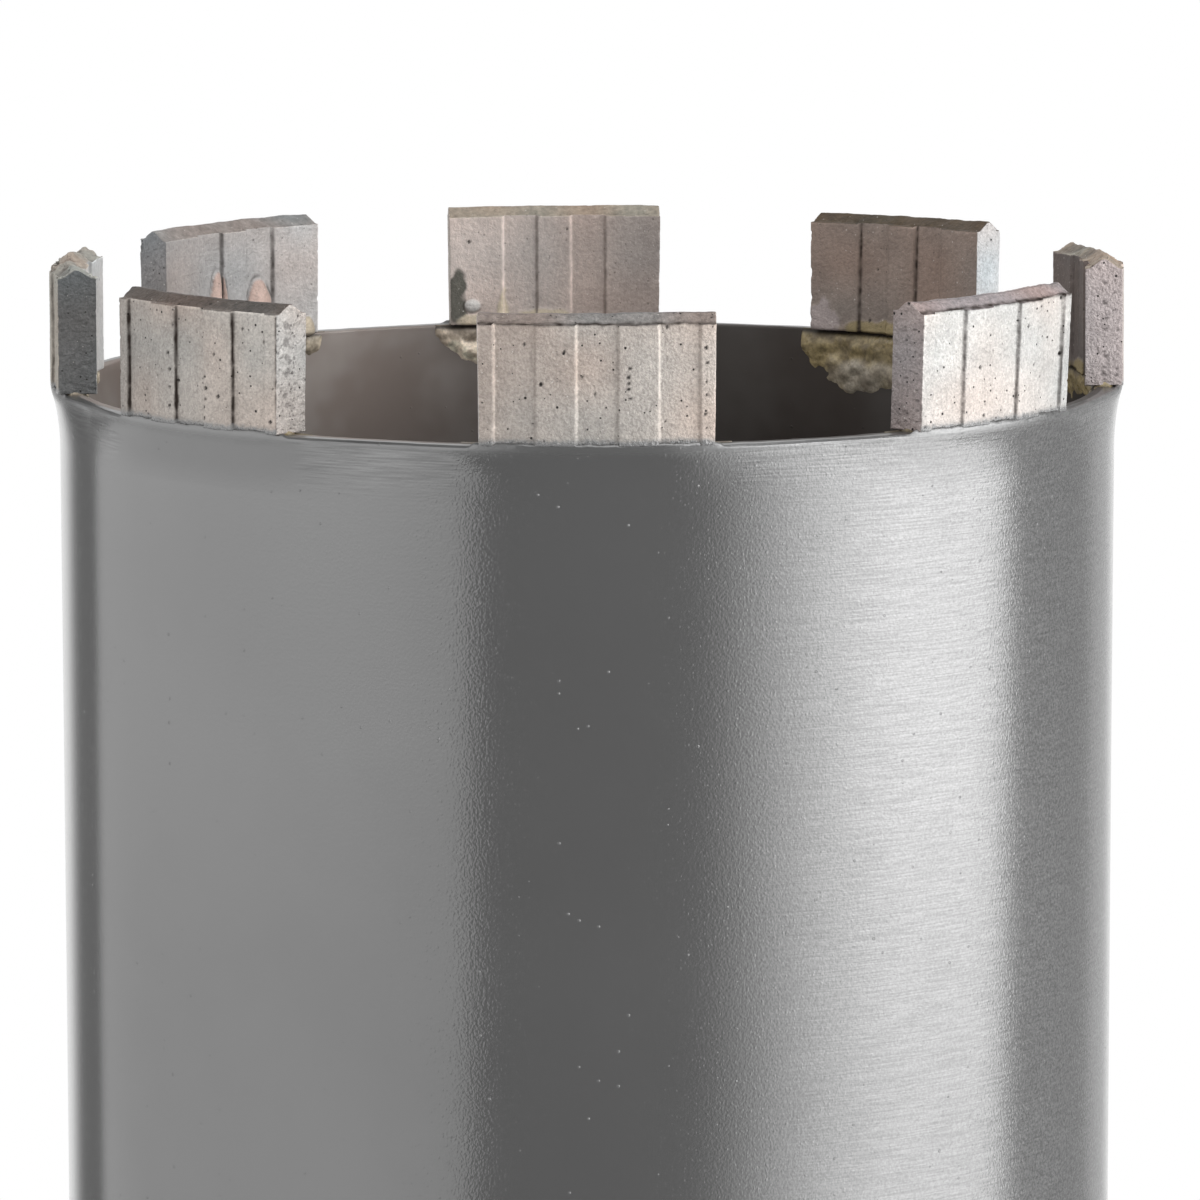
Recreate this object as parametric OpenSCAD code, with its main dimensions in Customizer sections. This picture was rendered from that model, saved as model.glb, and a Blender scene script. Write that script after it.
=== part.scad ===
// Wet diamond core bit, standing on its hub with the crown up.
// The origin is the centre of the hub's end face and +Z runs along the bit to the crown.

/* [Crown] */
// Cutting diameter over the ribs of the segments
crown_d = 114.3; // [104:0.1:124]
// Length of a segment along its chord, at its top
seg_len = 23.9; // [22:0.1:26]
// Amount by which a segment is shorter at its foot
seg_draft = 0.3; // [0:0.1:0.6]
// Thickness of a segment, rib to rib
seg_t = 4; // [3.6:0.1:4.6]
// Height of a segment's ridge above the rim of the barrel
ridge_h = 13.3; // [9:0.1:16]
// Rise of the roof from its eaves to its ridge
roof_rise = 0.9; // [0.5:0.1:1.4]
// Width of the flat along the ridge
ridge_w = 0.4; // [0.2:0.1:0.8]
// Width of the shoulder between the side of a rib and the eave
shoulder_w = 0.5; // [0.4:0.1:0.7]
// Fall of that shoulder towards the side
shoulder_drop = 0.1; // [0.1:0.1:0.3]

/* [Flutes] */
// Depth of the flutes pressed in both sides of a segment
flute_depth = 0.35; // [0.2:0.05:0.5]
// Distance between neighbouring flutes on one side
flute_pitch = 8.3; // [8:0.1:8.6]
// Width of a flute at half its depth
flute_w = 4.15; // [3.6:0.05:4.4]
// Width of each sloping side of a flute
flute_slope = 0.4; // [0.2:0.05:0.6]

/* [Barrel] */
// Length of the barrel tube
barrel_len = 350; // [150:1:450]
// Wall of the barrel tube
barrel_wall = 2; // [1.6:0.1:3]
// Distance that the segments stand out past the barrel's outside
side_gap = 1; // [0.4:0.1:1.2]
// Broken edge at the rim of the barrel
rim_edge = 0.25; // [0.1:0.05:0.5]

/* [Braze] */
// Thickness of the filler between rim and segment
joint_t = 0.15; // [0.1:0.05:0.3]
// Height of the filler's shoulder down the outside of the barrel
outer_shoulder = 3.2; // [2:0.1:5]
// Height of the filler's shoulder down the inside of the barrel
inner_shoulder = 1.8; // [1:0.1:3]
// Length by which the filler runs past each end of a segment
end_run = 0.4; // [0.2:0.1:0.8]

/* [Back plate and hub] */
// Thickness of the back plate
plate_t = 8; // [6:0.5:12]
// Bevel on the plate for its ring of weld
plate_bevel = 3; // [2:0.5:4]
// Width across the flats of the hub's hexagon
hub_flats = 41; // [38:1:46]
// Height of the hexagon
hex_h = 28; // [20:1:36]
// Diameter of the hub's flange
flange_d = 54; // [52:1:70]
// Thickness of the hub's flange
flange_t = 10; // [8:1:14]
// Diameter of the spigot that sits in the plate
spigot_d = 42; // [38:1:48]
// Diameter of the hub's bore, over the crests of its thread
bore_d = 28.2; // [26:0.1:30]
// Chamfer at both mouths of the bore
mouth_chamfer = 2; // [1:0.5:3]

/* [Hidden] */
$fn = 180;

// The segments were set by hand, so each departs a little from its even place.
// Segment 1 stands towards +X and the others follow anticlockwise, seen from above.
seg_step = 360 / 8;
// Turn about the bit's axis, in degrees
seg_turn = [4.8, 3.9, 4, 2.4, 1.7, -0.2, 1, 3.1];
// Lean of the top away from the axis, in degrees
seg_lean = [0, 1.5, 0.5, -0.5, 0, 0, 0, 2.5];
// Lean of the top along the rim, in degrees, clockwise seen from outside
seg_tilt = [-1.5, -1, 0, -0.5, 0, 0, 0, 0.5];

seg_ro = crown_d / 2;
seg_ri = seg_ro - seg_t;
seg_rm = seg_ro - seg_t / 2;
eave_h = ridge_h - roof_rise;
barrel_ro = seg_ro - side_gap;
barrel_ri = barrel_ro - barrel_wall;
hub_h = hex_h + flange_t;
rim_z = hub_h + barrel_len;
flute_turn = flute_pitch / seg_ro * 180 / PI;
// Extra length by which a cutter passes a face
over = 2;

paint = [0.50, 0.50, 0.50];
sinter = [0.70, 0.65, 0.61];
filler = [0.72, 0.64, 0.46];
steel = [0.58, 0.58, 0.57];

// Rolled and welded tube with its rim edge broken
module barrel() {
    color(paint)
    translate([0, 0, hub_h])
    rotate_extrude()
    polygon([
        [barrel_ri, 0],
        [barrel_ro, 0],
        [barrel_ro, barrel_len - rim_edge],
        [barrel_ro - rim_edge, barrel_len],
        [barrel_ri + rim_edge, barrel_len],
        [barrel_ri, barrel_len - rim_edge]
    ]);
}

// Disc in the end of the barrel, bevelled for its weld and bored for the hub
module back_plate() {
    color(paint)
    translate([0, 0, hub_h])
    rotate_extrude()
    polygon([
        [spigot_d / 2, 0],
        [barrel_ri - plate_bevel, 0],
        [barrel_ri, plate_bevel],
        [barrel_ri, plate_t],
        [spigot_d / 2, plate_t]
    ]);
}

// Hexagon whose corners are turned off to a cone at its free end
module hub_hexagon() {
    corner_r = hub_flats / 2 / cos(30);
    corner_h = (corner_r - hub_flats / 2) * tan(30);
    intersection() {
        cylinder(r = corner_r, h = hex_h, $fn = 6);
        union() {
            cylinder(r1 = hub_flats / 2, r2 = corner_r, h = corner_h);
            translate([0, 0, corner_h]) cylinder(r = corner_r + over, h = hex_h);
        }
    }
}

// Turned hub: hexagon, flange and spigot, bored through for the thread and the water
module hub() {
    bore_r = bore_d / 2;
    total_h = hub_h + plate_t;
    color(steel)
    difference() {
        union() {
            hub_hexagon();
            translate([0, 0, hex_h])
            rotate_extrude()
            polygon([
                [0, 0],
                [flange_d / 2 - 1, 0],
                [flange_d / 2, 1],
                [flange_d / 2, flange_t],
                [spigot_d / 2, flange_t],
                [spigot_d / 2, flange_t + plate_t],
                [0, flange_t + plate_t]
            ]);
        }
        translate([0, 0, -over]) cylinder(r = bore_r, h = total_h + 2 * over);
        translate([0, 0, -over])
        cylinder(r1 = bore_r + mouth_chamfer + over, r2 = bore_r, h = mouth_chamfer + over);
        translate([0, 0, total_h - mouth_chamfer])
        cylinder(r1 = bore_r, r2 = bore_r + mouth_chamfer + over, h = mouth_chamfer + over);
    }
}

// Bead laid in the bevel between the plate and the barrel's end
module plate_weld() {
    bead_r = plate_bevel * 0.8;
    inset = plate_bevel / 3;
    color(paint)
    difference() {
        translate([0, 0, hub_h + inset])
        rotate_extrude()
        translate([barrel_ri - inset, 0]) circle(r = bead_r);
        barrel();
        back_plate();
    }
}

// Fillet of weld between the hub's flange and the plate
module hub_weld() {
    leg = 3.5;
    sag = 1.8;
    bead_r = 5.6;
    reach = sqrt(pow(bead_r, 2) - pow(sag, 2));
    flange_r = flange_d / 2;
    color(paint)
    difference() {
        translate([0, 0, hub_h + reach - leg])
        rotate_extrude()
        translate([flange_r + leg - reach, 0]) circle(r = bead_r);
        translate([0, 0, hub_h]) cylinder(r = flange_r + 2 * bead_r, h = 2 * bead_r);
        translate([0, 0, hub_h - 2 * bead_r]) cylinder(r = flange_r, h = 4 * bead_r);
    }
}

// Moves a segment's own frame, which stands on +X, to its place on the rim
module on_rim(i) {
    translate([0, 0, rim_z])
    rotate([0, 0, i * seg_step + seg_turn[i]])
    children();
}

// Ring with the section of a segment: straight sides, shoulders and a gabled roof
module crown_ring() {
    rotate_extrude()
    polygon([
        [seg_ri, -over],
        [seg_ro, -over],
        [seg_ro, eave_h - shoulder_drop],
        [seg_ro - shoulder_w, eave_h],
        [seg_rm + ridge_w / 2, ridge_h],
        [seg_rm - ridge_w / 2, ridge_h],
        [seg_ri + shoulder_w, eave_h],
        [seg_ri, eave_h - shoulder_drop]
    ]);
}

// Block between two parallel end faces, drawn in a little towards the foot
module between_ends(length, foot_loss, low, high) {
    half = length / 2;
    depth = 2 * seg_t;
    translate([seg_rm - depth, 0, 0])
    rotate([90, 0, 90])
    linear_extrude(height = 2 * depth)
    polygon([
        [-half + foot_loss / 2, low],
        [half - foot_loss / 2, low],
        [half, high],
        [-half, high]
    ]);
}

// Upright prism whose plan widens from w1 at r1 to w2 at r2
module flute_prism(r1, w1, r2, w2) {
    translate([0, 0, -2 * over])
    linear_extrude(height = ridge_h + 4 * over)
    polygon([
        [r1, -w1 / 2],
        [r2, -w2 / 2],
        [r2, w2 / 2],
        [r1, w1 / 2]
    ]);
}

// Flute in the outer side, with its floor on a cylinder about the bit's axis
module outer_flute() {
    floor_w = flute_w - flute_slope;
    floor_r = seg_ro - flute_depth;
    growth = 2 * flute_slope / flute_depth;
    difference() {
        flute_prism(floor_r - 1, floor_w - growth, seg_ro + 1, floor_w + growth * (flute_depth + 1));
        translate([0, 0, -3 * over]) cylinder(r = floor_r, h = ridge_h + 6 * over);
    }
}

// Flute in the inner side, the outer one's mirror image
module inner_flute() {
    floor_w = flute_w - flute_slope;
    floor_r = seg_ri + flute_depth;
    growth = 2 * flute_slope / flute_depth;
    intersection() {
        flute_prism(seg_ri - 1, floor_w + growth * (flute_depth + 1), floor_r + 1, floor_w - growth);
        translate([0, 0, -3 * over]) cylinder(r = floor_r, h = ridge_h + 6 * over);
    }
}

// Segment block on +X: ribs and flutes alternate on both sides, so the wall keeps its thickness
module segment_block() {
    difference() {
        intersection() {
            crown_ring();
            between_ends(seg_len, seg_draft, -over, ridge_h + over);
        }
        for (k = [-1, 0, 1])
            rotate([0, 0, k * flute_turn]) outer_flute();
        for (k = [-0.5, 0.5])
            rotate([0, 0, k * flute_turn]) inner_flute();
    }
}

// Segment i in its leaning stance, with its foot cut flat for the joint
module segment(i) {
    color(sinter)
    on_rim(i)
    difference() {
        translate([seg_rm, 0, 0])
        rotate([seg_tilt[i], seg_lean[i], 0])
        translate([-seg_rm, 0, 0])
        segment_block();
        translate([seg_rm - 5 * over, -seg_len, joint_t - 5 * over])
        cube([10 * over, 2 * seg_len, 5 * over]);
    }
}

// Filler under segment i: a thin joint on the rim, with a shoulder down each side of the wall
module braze(i) {
    mid_r = barrel_ro - barrel_wall / 2;
    lip = 0.1;
    lip_h = 0.4;
    color(filler)
    difference() {
        on_rim(i)
        intersection() {
            rotate_extrude()
            polygon([
                [mid_r, -outer_shoulder],
                [barrel_ro, -outer_shoulder],
                [seg_ro - lip, -lip_h],
                [seg_ro - lip, joint_t],
                [seg_ri + lip, joint_t],
                [seg_ri + lip, -lip_h],
                [barrel_ri, -inner_shoulder],
                [mid_r, -inner_shoulder]
            ]);
            between_ends(seg_len + 2 * end_run, 2 * end_run, -2 * outer_shoulder, over);
        }
        barrel();
    }
}

barrel();
back_plate();
hub();
plate_weld();
hub_weld();
segment(0);  // segment_1
segment(1);  // segment_2
segment(2);  // segment_3
segment(3);  // segment_4
segment(4);  // segment_5
segment(5);  // segment_6
segment(6);  // segment_7
segment(7);  // segment_8
braze(0);  // braze_1
braze(1);  // braze_2
braze(2);  // braze_3
braze(3);  // braze_4
braze(4);  // braze_5
braze(5);  // braze_6
braze(6);  // braze_7
braze(7);  // braze_8
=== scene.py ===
"""Wet diamond core bit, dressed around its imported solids.

The bit stands on its hub with the crown up. Lengths in the functions below are in millimetres
until a mesh is written, and a mesh is in metres, in the frame of the solids.
"""
import functools
import math
import operator
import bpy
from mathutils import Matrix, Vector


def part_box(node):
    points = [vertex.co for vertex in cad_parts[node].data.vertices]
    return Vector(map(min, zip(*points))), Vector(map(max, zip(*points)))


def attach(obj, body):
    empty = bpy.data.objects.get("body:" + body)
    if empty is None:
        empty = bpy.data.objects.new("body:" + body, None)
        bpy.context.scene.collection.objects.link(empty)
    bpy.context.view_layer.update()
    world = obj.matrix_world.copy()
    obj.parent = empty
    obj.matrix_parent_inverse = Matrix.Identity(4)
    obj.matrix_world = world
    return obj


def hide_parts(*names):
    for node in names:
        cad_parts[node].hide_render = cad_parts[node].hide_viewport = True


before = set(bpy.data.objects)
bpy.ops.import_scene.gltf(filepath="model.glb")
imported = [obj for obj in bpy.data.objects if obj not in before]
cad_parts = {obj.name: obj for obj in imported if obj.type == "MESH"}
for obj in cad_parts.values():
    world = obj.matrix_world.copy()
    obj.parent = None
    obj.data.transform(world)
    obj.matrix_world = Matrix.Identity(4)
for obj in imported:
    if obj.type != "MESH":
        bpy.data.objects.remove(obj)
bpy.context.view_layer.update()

from types import SimpleNamespace

import bmesh
import bpy
import numpy as np
from bpy.props import FloatProperty, FloatVectorProperty, PointerProperty
from mathutils import Matrix

bl_info = {
    "name": "Diamond Core Bit",
    "version": (1, 0, 0),
    "blender": (4, 5, 0),
    "location": "3D View > Sidebar > Core Bit",
    "description": "Builds the finished surfaces of a wet diamond core bit around its solids",
    "category": "Add Mesh",
}

MM = 0.001
# Points of a mesh that are closer than this, in metres, are one point
MERGE_DISTANCE = 2e-7
BARREL_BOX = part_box("barrel")
RIM_Z = float(BARREL_BOX[1][2]) / MM
BARREL_RO = float(BARREL_BOX[1][0]) / MM
BARREL_WALL = 2.0
BARREL_RI = BARREL_RO - BARREL_WALL
HUB_H = float(BARREL_BOX[0][2]) / MM

SEGMENT_COUNT = 8
# Turn about the axis, lean away from it and tilt along the rim, in degrees, as the solids have them
SEGMENT_TURN = (4.8, 3.9, 4.0, 2.4, 1.7, -0.2, 1.0, 3.1)
SEGMENT_LEAN = (0.0, 1.5, 0.5, -0.5, 0.0, 0.0, 0.0, 2.5)
SEGMENT_TILT = (-1.5, -1.0, 0.0, -0.5, 0.0, 0.0, 0.0, 0.5)

# Tints that the faces and the filler take, by name
TINTS = {
    "beige": (0.405, 0.36, 0.325),
    "pale": (0.535, 0.505, 0.48),
    "chalk": (0.45, 0.445, 0.445),
    "white": (0.62, 0.61, 0.60),
    "mauve": (0.34, 0.29, 0.28),
    "rose": (0.40, 0.35, 0.345),
    "blush": (0.49, 0.413, 0.375),
    "brown": (0.285, 0.222, 0.188),
    "dusk": (0.163, 0.132, 0.12),
    "umber": (0.11, 0.09, 0.078),
    "olive": (0.32, 0.27, 0.215),
    "bronze": (0.09, 0.065, 0.04),
    "grey": (0.45, 0.43, 0.42),
    "pewter": (0.195, 0.195, 0.198),
    "slate": (0.12, 0.122, 0.122),
    "taupe": (0.26, 0.235, 0.22),
    "plum": (0.33, 0.268, 0.26),
    "stone": (0.34, 0.31, 0.27),
    "cream": (0.50, 0.43, 0.33),
    "ochre": (0.27, 0.215, 0.115),
    "copper": (0.50, 0.37, 0.32),
    "ash": (0.515, 0.485, 0.46),
    "pearl": (0.50, 0.48, 0.46),
    "moss": (0.10, 0.095, 0.08),
}
# Colours of the finishes: dark residue with painted shade, pits painted near black as shade, light specks
# that are partly painted glints; and the gain of an edge that is lighter with wear and painted highlight,
# on its tint
RESIDUE_AND_SHADE_COLOUR = (0.035, 0.027, 0.023)
PIT_SHADE_COLOUR = (0.02, 0.016, 0.014)
SPECK_AND_GLINT_COLOUR = (0.75, 0.71, 0.67)
WEAR_AND_HIGHLIGHT_GAIN = (1.65, 1.65, 1.65)
FLUX_COLOUR = (0.14, 0.11, 0.08)
# Painted shade in the filler's corners and in the gap under each segment
PAINTED_CORNER_SHADE = (0.03, 0.025, 0.022)
HUB_COLOUR = (0.42, 0.42, 0.41)
# Shift of red, green and blue in the warm patches of a segment's tint
WARM_PATCH = (0.07, -0.01, -0.05)
# Softboxes: name, azimuth, distance, width, height, level, height of their middle, rise and fades
DIMMER_BELOW = ("Y", 0.28, 0.43, 0.68, 1.0)
SOFTBOXES = (
    ("Right softbox", 58.3, 0.62, 1.16, 1.15, 3.05, 0.44, 0,
     (("X", 0.08, 0.66, 0.0, 1.0), ("X", 0.84, 1.0, 1.0, 0.45), DIMMER_BELOW)),
    ("Left wall", -78.3, 0.65, 1.78, 1.2, 0.82, 0.44, 0,
     (("X", 0.6, 1.0, 1.0, 0.85), ("X", 0.0, 0.05, 0.6, 1.0), DIMMER_BELOW)),
    ("Top softbox", 25, 1.3, 1.2, 0.9, 1.3, 0.4, 48, ()),
)
# Sockets of a colour Mix node: its factor and two colours, and its result
MIX_INPUTS = (0, 6, 7)
MIX_OUTPUT = 2

# Tints of the faces of each segment, partly the metal's own colour and partly painted light that makes
# each face lighter or darker as light falls on it: outer, inner, left end, right end, roof, all seen from
# outside the bit
FACE_TINTS_WITH_PAINTED_LIGHT = (
    ("beige", "dusk", "rose", "beige", "olive"),
    ("beige", "brown", "chalk", "beige", "bronze"),
    ("beige", "blush", "beige", "beige", "olive"),
    ("beige", "grey", "grey", "pewter", "taupe"),
    ("stone", "white", "beige", "slate", "stone"),
    ("beige", "mauve", "grey", "ash", "umber"),
    ("beige", "mauve", "grey", "beige", "taupe"),
    ("pale", "brown", "mauve", "beige", "plum"),
)
# Roughness of each roof, from 0 to 1
ROOF_LUMPS = (0.5, 0.2, 0.1, 0.15, 1.3, 0.15, 0.18, 0.3)
# Lines on the flute edges that face anticlockwise and clockwise, outside and then inside: dark residue
# with painted shade from 0 to 1, and lighter with wear and painted highlight from 0 to -1
EDGE_LINES = (
    (0.5, 0.2, 0.5, 0.3), (0.4, 0.4, 0.1, 0.8), (0.3, 0.3, 0.45, -0.7), (0.3, 0.3, 0.62, 0.15),
    (0.6, 0.6, 0.4, 0.4), (1.0, 0.1, 0.4, 0.4), (-0.9, 0.15, 0.4, 0.4), (0.1, 0.65, 0.4, 0.4))
# The same along the eaves of each segment
EAVE_LINES = (0.0, 0.0, 0.0, 0.0, 0.0, -0.9, 0.8, 0.8)
# The same along the upright edges at the ends of each segment's outside
ARRIS_LINES = (0.0, 0.0, 0.0, 0.0, 0.0, 0.8, -0.4, -0.4)
# Loose pits in each segment
LOOSE_PITS = (20, 6, 7, 6, 4, 34, 34, 30)
# Painted light: share by which the sides of each segment get lighter towards its anticlockwise end
FACE_PAINTED_LIGHT = (0.0, 0.0, 0.22, -0.18, 0.0, 0.22, 0.13, -0.06)
# Columns of pits in the outer face: segment, place along it, lowest and highest, and gap
PIT_COLUMNS = (
    (6, -9.6, 0.8, 8.0, 2.3),
    (6, -0.4, 0.8, 6.2, 1.1),
    (6, 3.2, 5.0, 8.5, 0.7),
    (6, 7.7, 1.5, 9.8, 0.85),
    (6, 11.0, 1.8, 10.0, 1.6),
    (7, -3.2, 1.0, 9.5, 1.4),
    (7, 6.0, 2.5, 10.5, 2.0),
    (5, 2.4, 1.0, 6.0, 1.1),
    (5, -3.0, 2.0, 9.0, 1.8),
)
# Dimples in the end faces: segment, end, columns across it, pitch, half width, half height, depth and
# darkness, which is shade painted into each dimple
END_DIMPLES = (
    (0, -1, (-1.2, 0.0, 1.15), 1.0, 0.3, 0.17, 0.1, 0.5),
    (7, -1, (-1.1, 0.1, 1.2), 1.2, 0.3, 0.13, 0.1, 0.55),
    (5, 1, (-0.7,), 1.7, 0.5, 0.55, 0.08, 0.45),
    (5, 1, (0.9, -1.5), 1.3, 0.16, 0.16, 0.1, 0.85),
    (5, 1, (-1.8, -1.2, 0.0, 0.5, 1.3, 1.7), 0.55, 0.13, 0.13, 0.05, 0.6),
)
# Drops and washes on the inner faces: segment, place along the rim from the middle and above it,
# half width, half height, thickness and tint
INNER_DROPS = (
    (3, 2.7, 3.2, 1.5, 4.9, 0.55, "copper"),
    (3, -4.1, 2.6, 2.0, 4.1, 0.7, "copper"),
    (3, -11.0, 0.4, 1.3, 1.7, 0.5, "cream"),
    (2, 12.1, 3.0, 1.6, 3.9, 0.02, "moss"),
    (2, 9.6, 0.3, 3.0, 1.2, 0.15, "cream"),
    (2, 6.2, 1.0, 0.8, 4.0, 0.12, "cream"),
    (2, 10.1, 2.3, 1.1, 0.85, 0.35, "pearl"),
    (2, 1.0, 0.4, 4.5, 1.5, 0.12, "cream"),
    (1, 10.9, 0.9, 2.2, 3.2, 0.15, "mauve"),
    (1, 0.0, 0.4, 9.0, 1.3, 0.2, "ochre"),
    (0, 0.0, 0.4, 8.0, 1.2, 0.2, "ochre"),
    (5, 3.0, 0.4, 7.0, 1.5, 0.2, "cream"),
    (6, -4.0, 0.4, 7.0, 1.4, 0.2, "ochre"),
    (7, 5.0, 0.4, 6.0, 1.8, 0.2, "cream"),
    (4, 2.0, 0.4, 8.0, 1.5, 0.2, "cream"),
)
# Filler on the inside of the barrel under each segment: reach below the rim in the middle and at
# its far end, anticlockwise, thickness of its crust, and tint
INNER_FILLER = (
    (2.2, 3.0, 0.5, "ochre"),
    (3.2, 4.2, 0.7, "ochre"),
    (1.0, 1.2, 0.35, "olive"),
    (2.0, 2.0, 0.5, "cream"),
    (2.0, 2.6, 0.4, "cream"),
    (2.6, 2.0, 0.6, "ochre"),
    (3.0, 3.6, 0.6, "cream"),
    (2.0, 4.0, 0.6, "ochre"),
)
# Share of pale flux in the thick drops of each crust
PALE_FLUX = (0, 0.75, 0, 0, 0, 0, 0, 0)
# Drops that stand out of the crust: segment, place along the rim, depth, half width, half height,
# thickness and shade, which makes a drop lighter, partly its own paler tone and partly painted light
CRUST_DROPS = (
    (2, 13.5, 0.3, 0.75, 0.7, 0.45, 3.0),
    (2, 12.9, 1.0, 0.8, 0.7, 0.5, 3.1),
    (2, 12.2, 1.7, 0.9, 0.8, 0.5, 3.1),
    (2, 11.4, 2.4, 1.0, 0.9, 0.5, 3.0),
    (2, 10.5, 2.9, 1.1, 1.05, 0.5, 2.9),
    (2, 9.5, 3.2, 1.2, 1.2, 0.5, 2.8),
    (2, 8.4, 3.4, 1.2, 1.2, 0.5, 2.6),
    (2, 7.1, 3.6, 1.3, 1.2, 0.45, 1.9),
    (1, 10.8, 1.7, 2.8, 1.0, 0.8, 1.15),
    (1, 5.4, 1.8, 3.2, 0.9, 0.75, 1.05),
    (1, 10.0, 3.6, 1.3, 1.0, 0.75, 1.5),
    (1, 8.8, 4.8, 2.0, 1.5, 0.6, 2.1),
    (1, 6.6, 4.2, 1.5, 1.2, 0.65, 2.4),
    (1, 5.6, 5.4, 2.1, 1.4, 0.6, 2.5),
    (1, 3.5, 4.4, 1.7, 1.3, 0.65, 2.1),
    (1, 1.6, 5.0, 1.8, 1.3, 0.55, 1.9),
    (1, 12.4, 2.6, 0.9, 1.6, 0.6, 1.2),
    (1, 7.6, 6.3, 0.9, 0.7, 0.5, 2.6),
)


class SegmentSizes(bpy.types.PropertyGroup):
    """Sizes of a sintered segment, the same as its solid's."""

    outer_radius: FloatProperty(
        name="Outer radius", description="Radius of the crown over the ribs of its segments",
        default=57.15 * MM, unit="LENGTH", precision=5)
    thickness: FloatProperty(
        name="Thickness", description="Thickness of a segment, rib to rib",
        default=4.0 * MM, unit="LENGTH", precision=5)
    length: FloatProperty(
        name="Length", description="Length of a segment along its chord, at its top",
        default=23.9 * MM, unit="LENGTH", precision=5)
    draft: FloatProperty(
        name="Draft", description="Amount by which a segment is shorter at its foot",
        default=0.3 * MM, unit="LENGTH", precision=5)
    ridge_height: FloatProperty(
        name="Ridge height", description="Height of the ridge above the rim of the barrel",
        default=13.3 * MM, unit="LENGTH", precision=5)
    roof_rise: FloatProperty(
        name="Roof rise", description="Rise of the roof from its eaves to its ridge",
        default=0.9 * MM, unit="LENGTH", precision=5)
    flute_depth: FloatProperty(
        name="Flute depth", description="Depth of the flutes in both sides",
        default=0.35 * MM, unit="LENGTH", precision=5)
    flute_slope: FloatProperty(
        name="Flute slope", description="Width of the slope between a rib and a flute",
        default=0.4 * MM, unit="LENGTH", precision=5)
    flute_pitch: FloatProperty(
        name="Flute pitch", description="Distance between neighbouring flutes on one side",
        default=8.3 * MM, unit="LENGTH", precision=5)
    arris: FloatProperty(
        name="Arris", description="Radius that wear has left on the sharp edges",
        default=0.12 * MM, unit="LENGTH", precision=5)


class HubSizes(bpy.types.PropertyGroup):
    """Sizes of the turned hub, the same as its solid's, and of the thread that its bore stands for."""

    flats: FloatProperty(
        name="Across flats", description="Width across the flats of the hexagon",
        default=41 * MM, unit="LENGTH", precision=4)
    hexagon_height: FloatProperty(
        name="Hexagon height", description="Height of the hexagon",
        default=28 * MM, unit="LENGTH", precision=4)
    flange_radius: FloatProperty(
        name="Flange radius", description="Radius of the flange against the plate",
        default=27 * MM, unit="LENGTH", precision=4)
    spigot_radius: FloatProperty(
        name="Spigot radius", description="Radius of the spigot in the plate",
        default=21 * MM, unit="LENGTH", precision=4)
    crest_radius: FloatProperty(
        name="Crest radius", description="Radius over the crests of the female thread",
        default=14.1 * MM, unit="LENGTH", precision=4)
    thread_depth: FloatProperty(
        name="Thread depth", description="Depth of the thread behind its crests",
        default=1.8 * MM, unit="LENGTH", precision=4)
    thread_pitch: FloatProperty(
        name="Thread pitch", description="Rise of the thread in one turn",
        default=25.4 / 7 * MM, unit="LENGTH", precision=4)


class PaintLook(bpy.types.PropertyGroup):
    """Colours and finish of the satin paint on the barrel."""

    colour: FloatVectorProperty(
        name="Paint", description="Colour of the satin paint", subtype="COLOR",
        size=3, min=0.0, max=1.0, default=(0.27, 0.27, 0.27))
    bore_colour: FloatVectorProperty(
        name="Bore", description="Colour of the bare inside of the barrel", subtype="COLOR",
        size=3, min=0.0, max=1.0, default=(0.34, 0.31, 0.29))
    stain_colour: FloatVectorProperty(
        name="Stain", description="Colour of the heat stains in the bore", subtype="COLOR",
        size=3, min=0.0, max=1.0, default=(0.19, 0.15, 0.13))
    peel_size: FloatProperty(
        name="Grain size", description="Size of the fine grain in the paint",
        default=0.27 * MM, unit="LENGTH", precision=5)


class StageSizes(bpy.types.PropertyGroup):
    """Camera that the bit is seen with."""

    distance: FloatProperty(
        name="Distance", description="Distance of the camera in front of the axis",
        default=0.8435, unit="LENGTH", precision=4)
    height: FloatProperty(
        name="Height", description="Height of the camera above the rim",
        default=101.2 * MM, unit="LENGTH", precision=4)
    pitch: FloatProperty(
        name="Pitch", description="Angle by which the camera looks down",
        default=math.radians(8.427), subtype="ANGLE", unit="ROTATION")
    yaw: FloatProperty(
        name="Yaw", description="Angle by which the camera looks to the right",
        default=math.radians(0.091), subtype="ANGLE", unit="ROTATION")
    roll: FloatProperty(
        name="Roll", description="Turn of the camera about its line of sight",
        default=math.radians(-0.081), subtype="ANGLE", unit="ROTATION")
    lens: FloatProperty(
        name="Lens", description="Focal length on a sensor 36 mm wide", default=238.7)
    floor_radius: FloatProperty(
        name="Floor radius", description="Radius of the round floor",
        default=9.0, unit="LENGTH")


# Sizes

def in_millimetres(group):
    """The lengths of a property group, in millimetres."""
    return SimpleNamespace(**{name: getattr(group, name) / MM for name in group.__annotations__})


def segment_sizes(group):
    """A segment's lengths in millimetres, with its half length and its inner and middle radius."""
    sizes = in_millimetres(group)
    sizes.half = sizes.length / 2
    sizes.inner_radius = sizes.outer_radius - sizes.thickness
    sizes.middle_radius = (sizes.outer_radius + sizes.inner_radius) / 2
    sizes.eave_height = sizes.ridge_height - sizes.roof_rise
    return sizes


# Shapes

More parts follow.
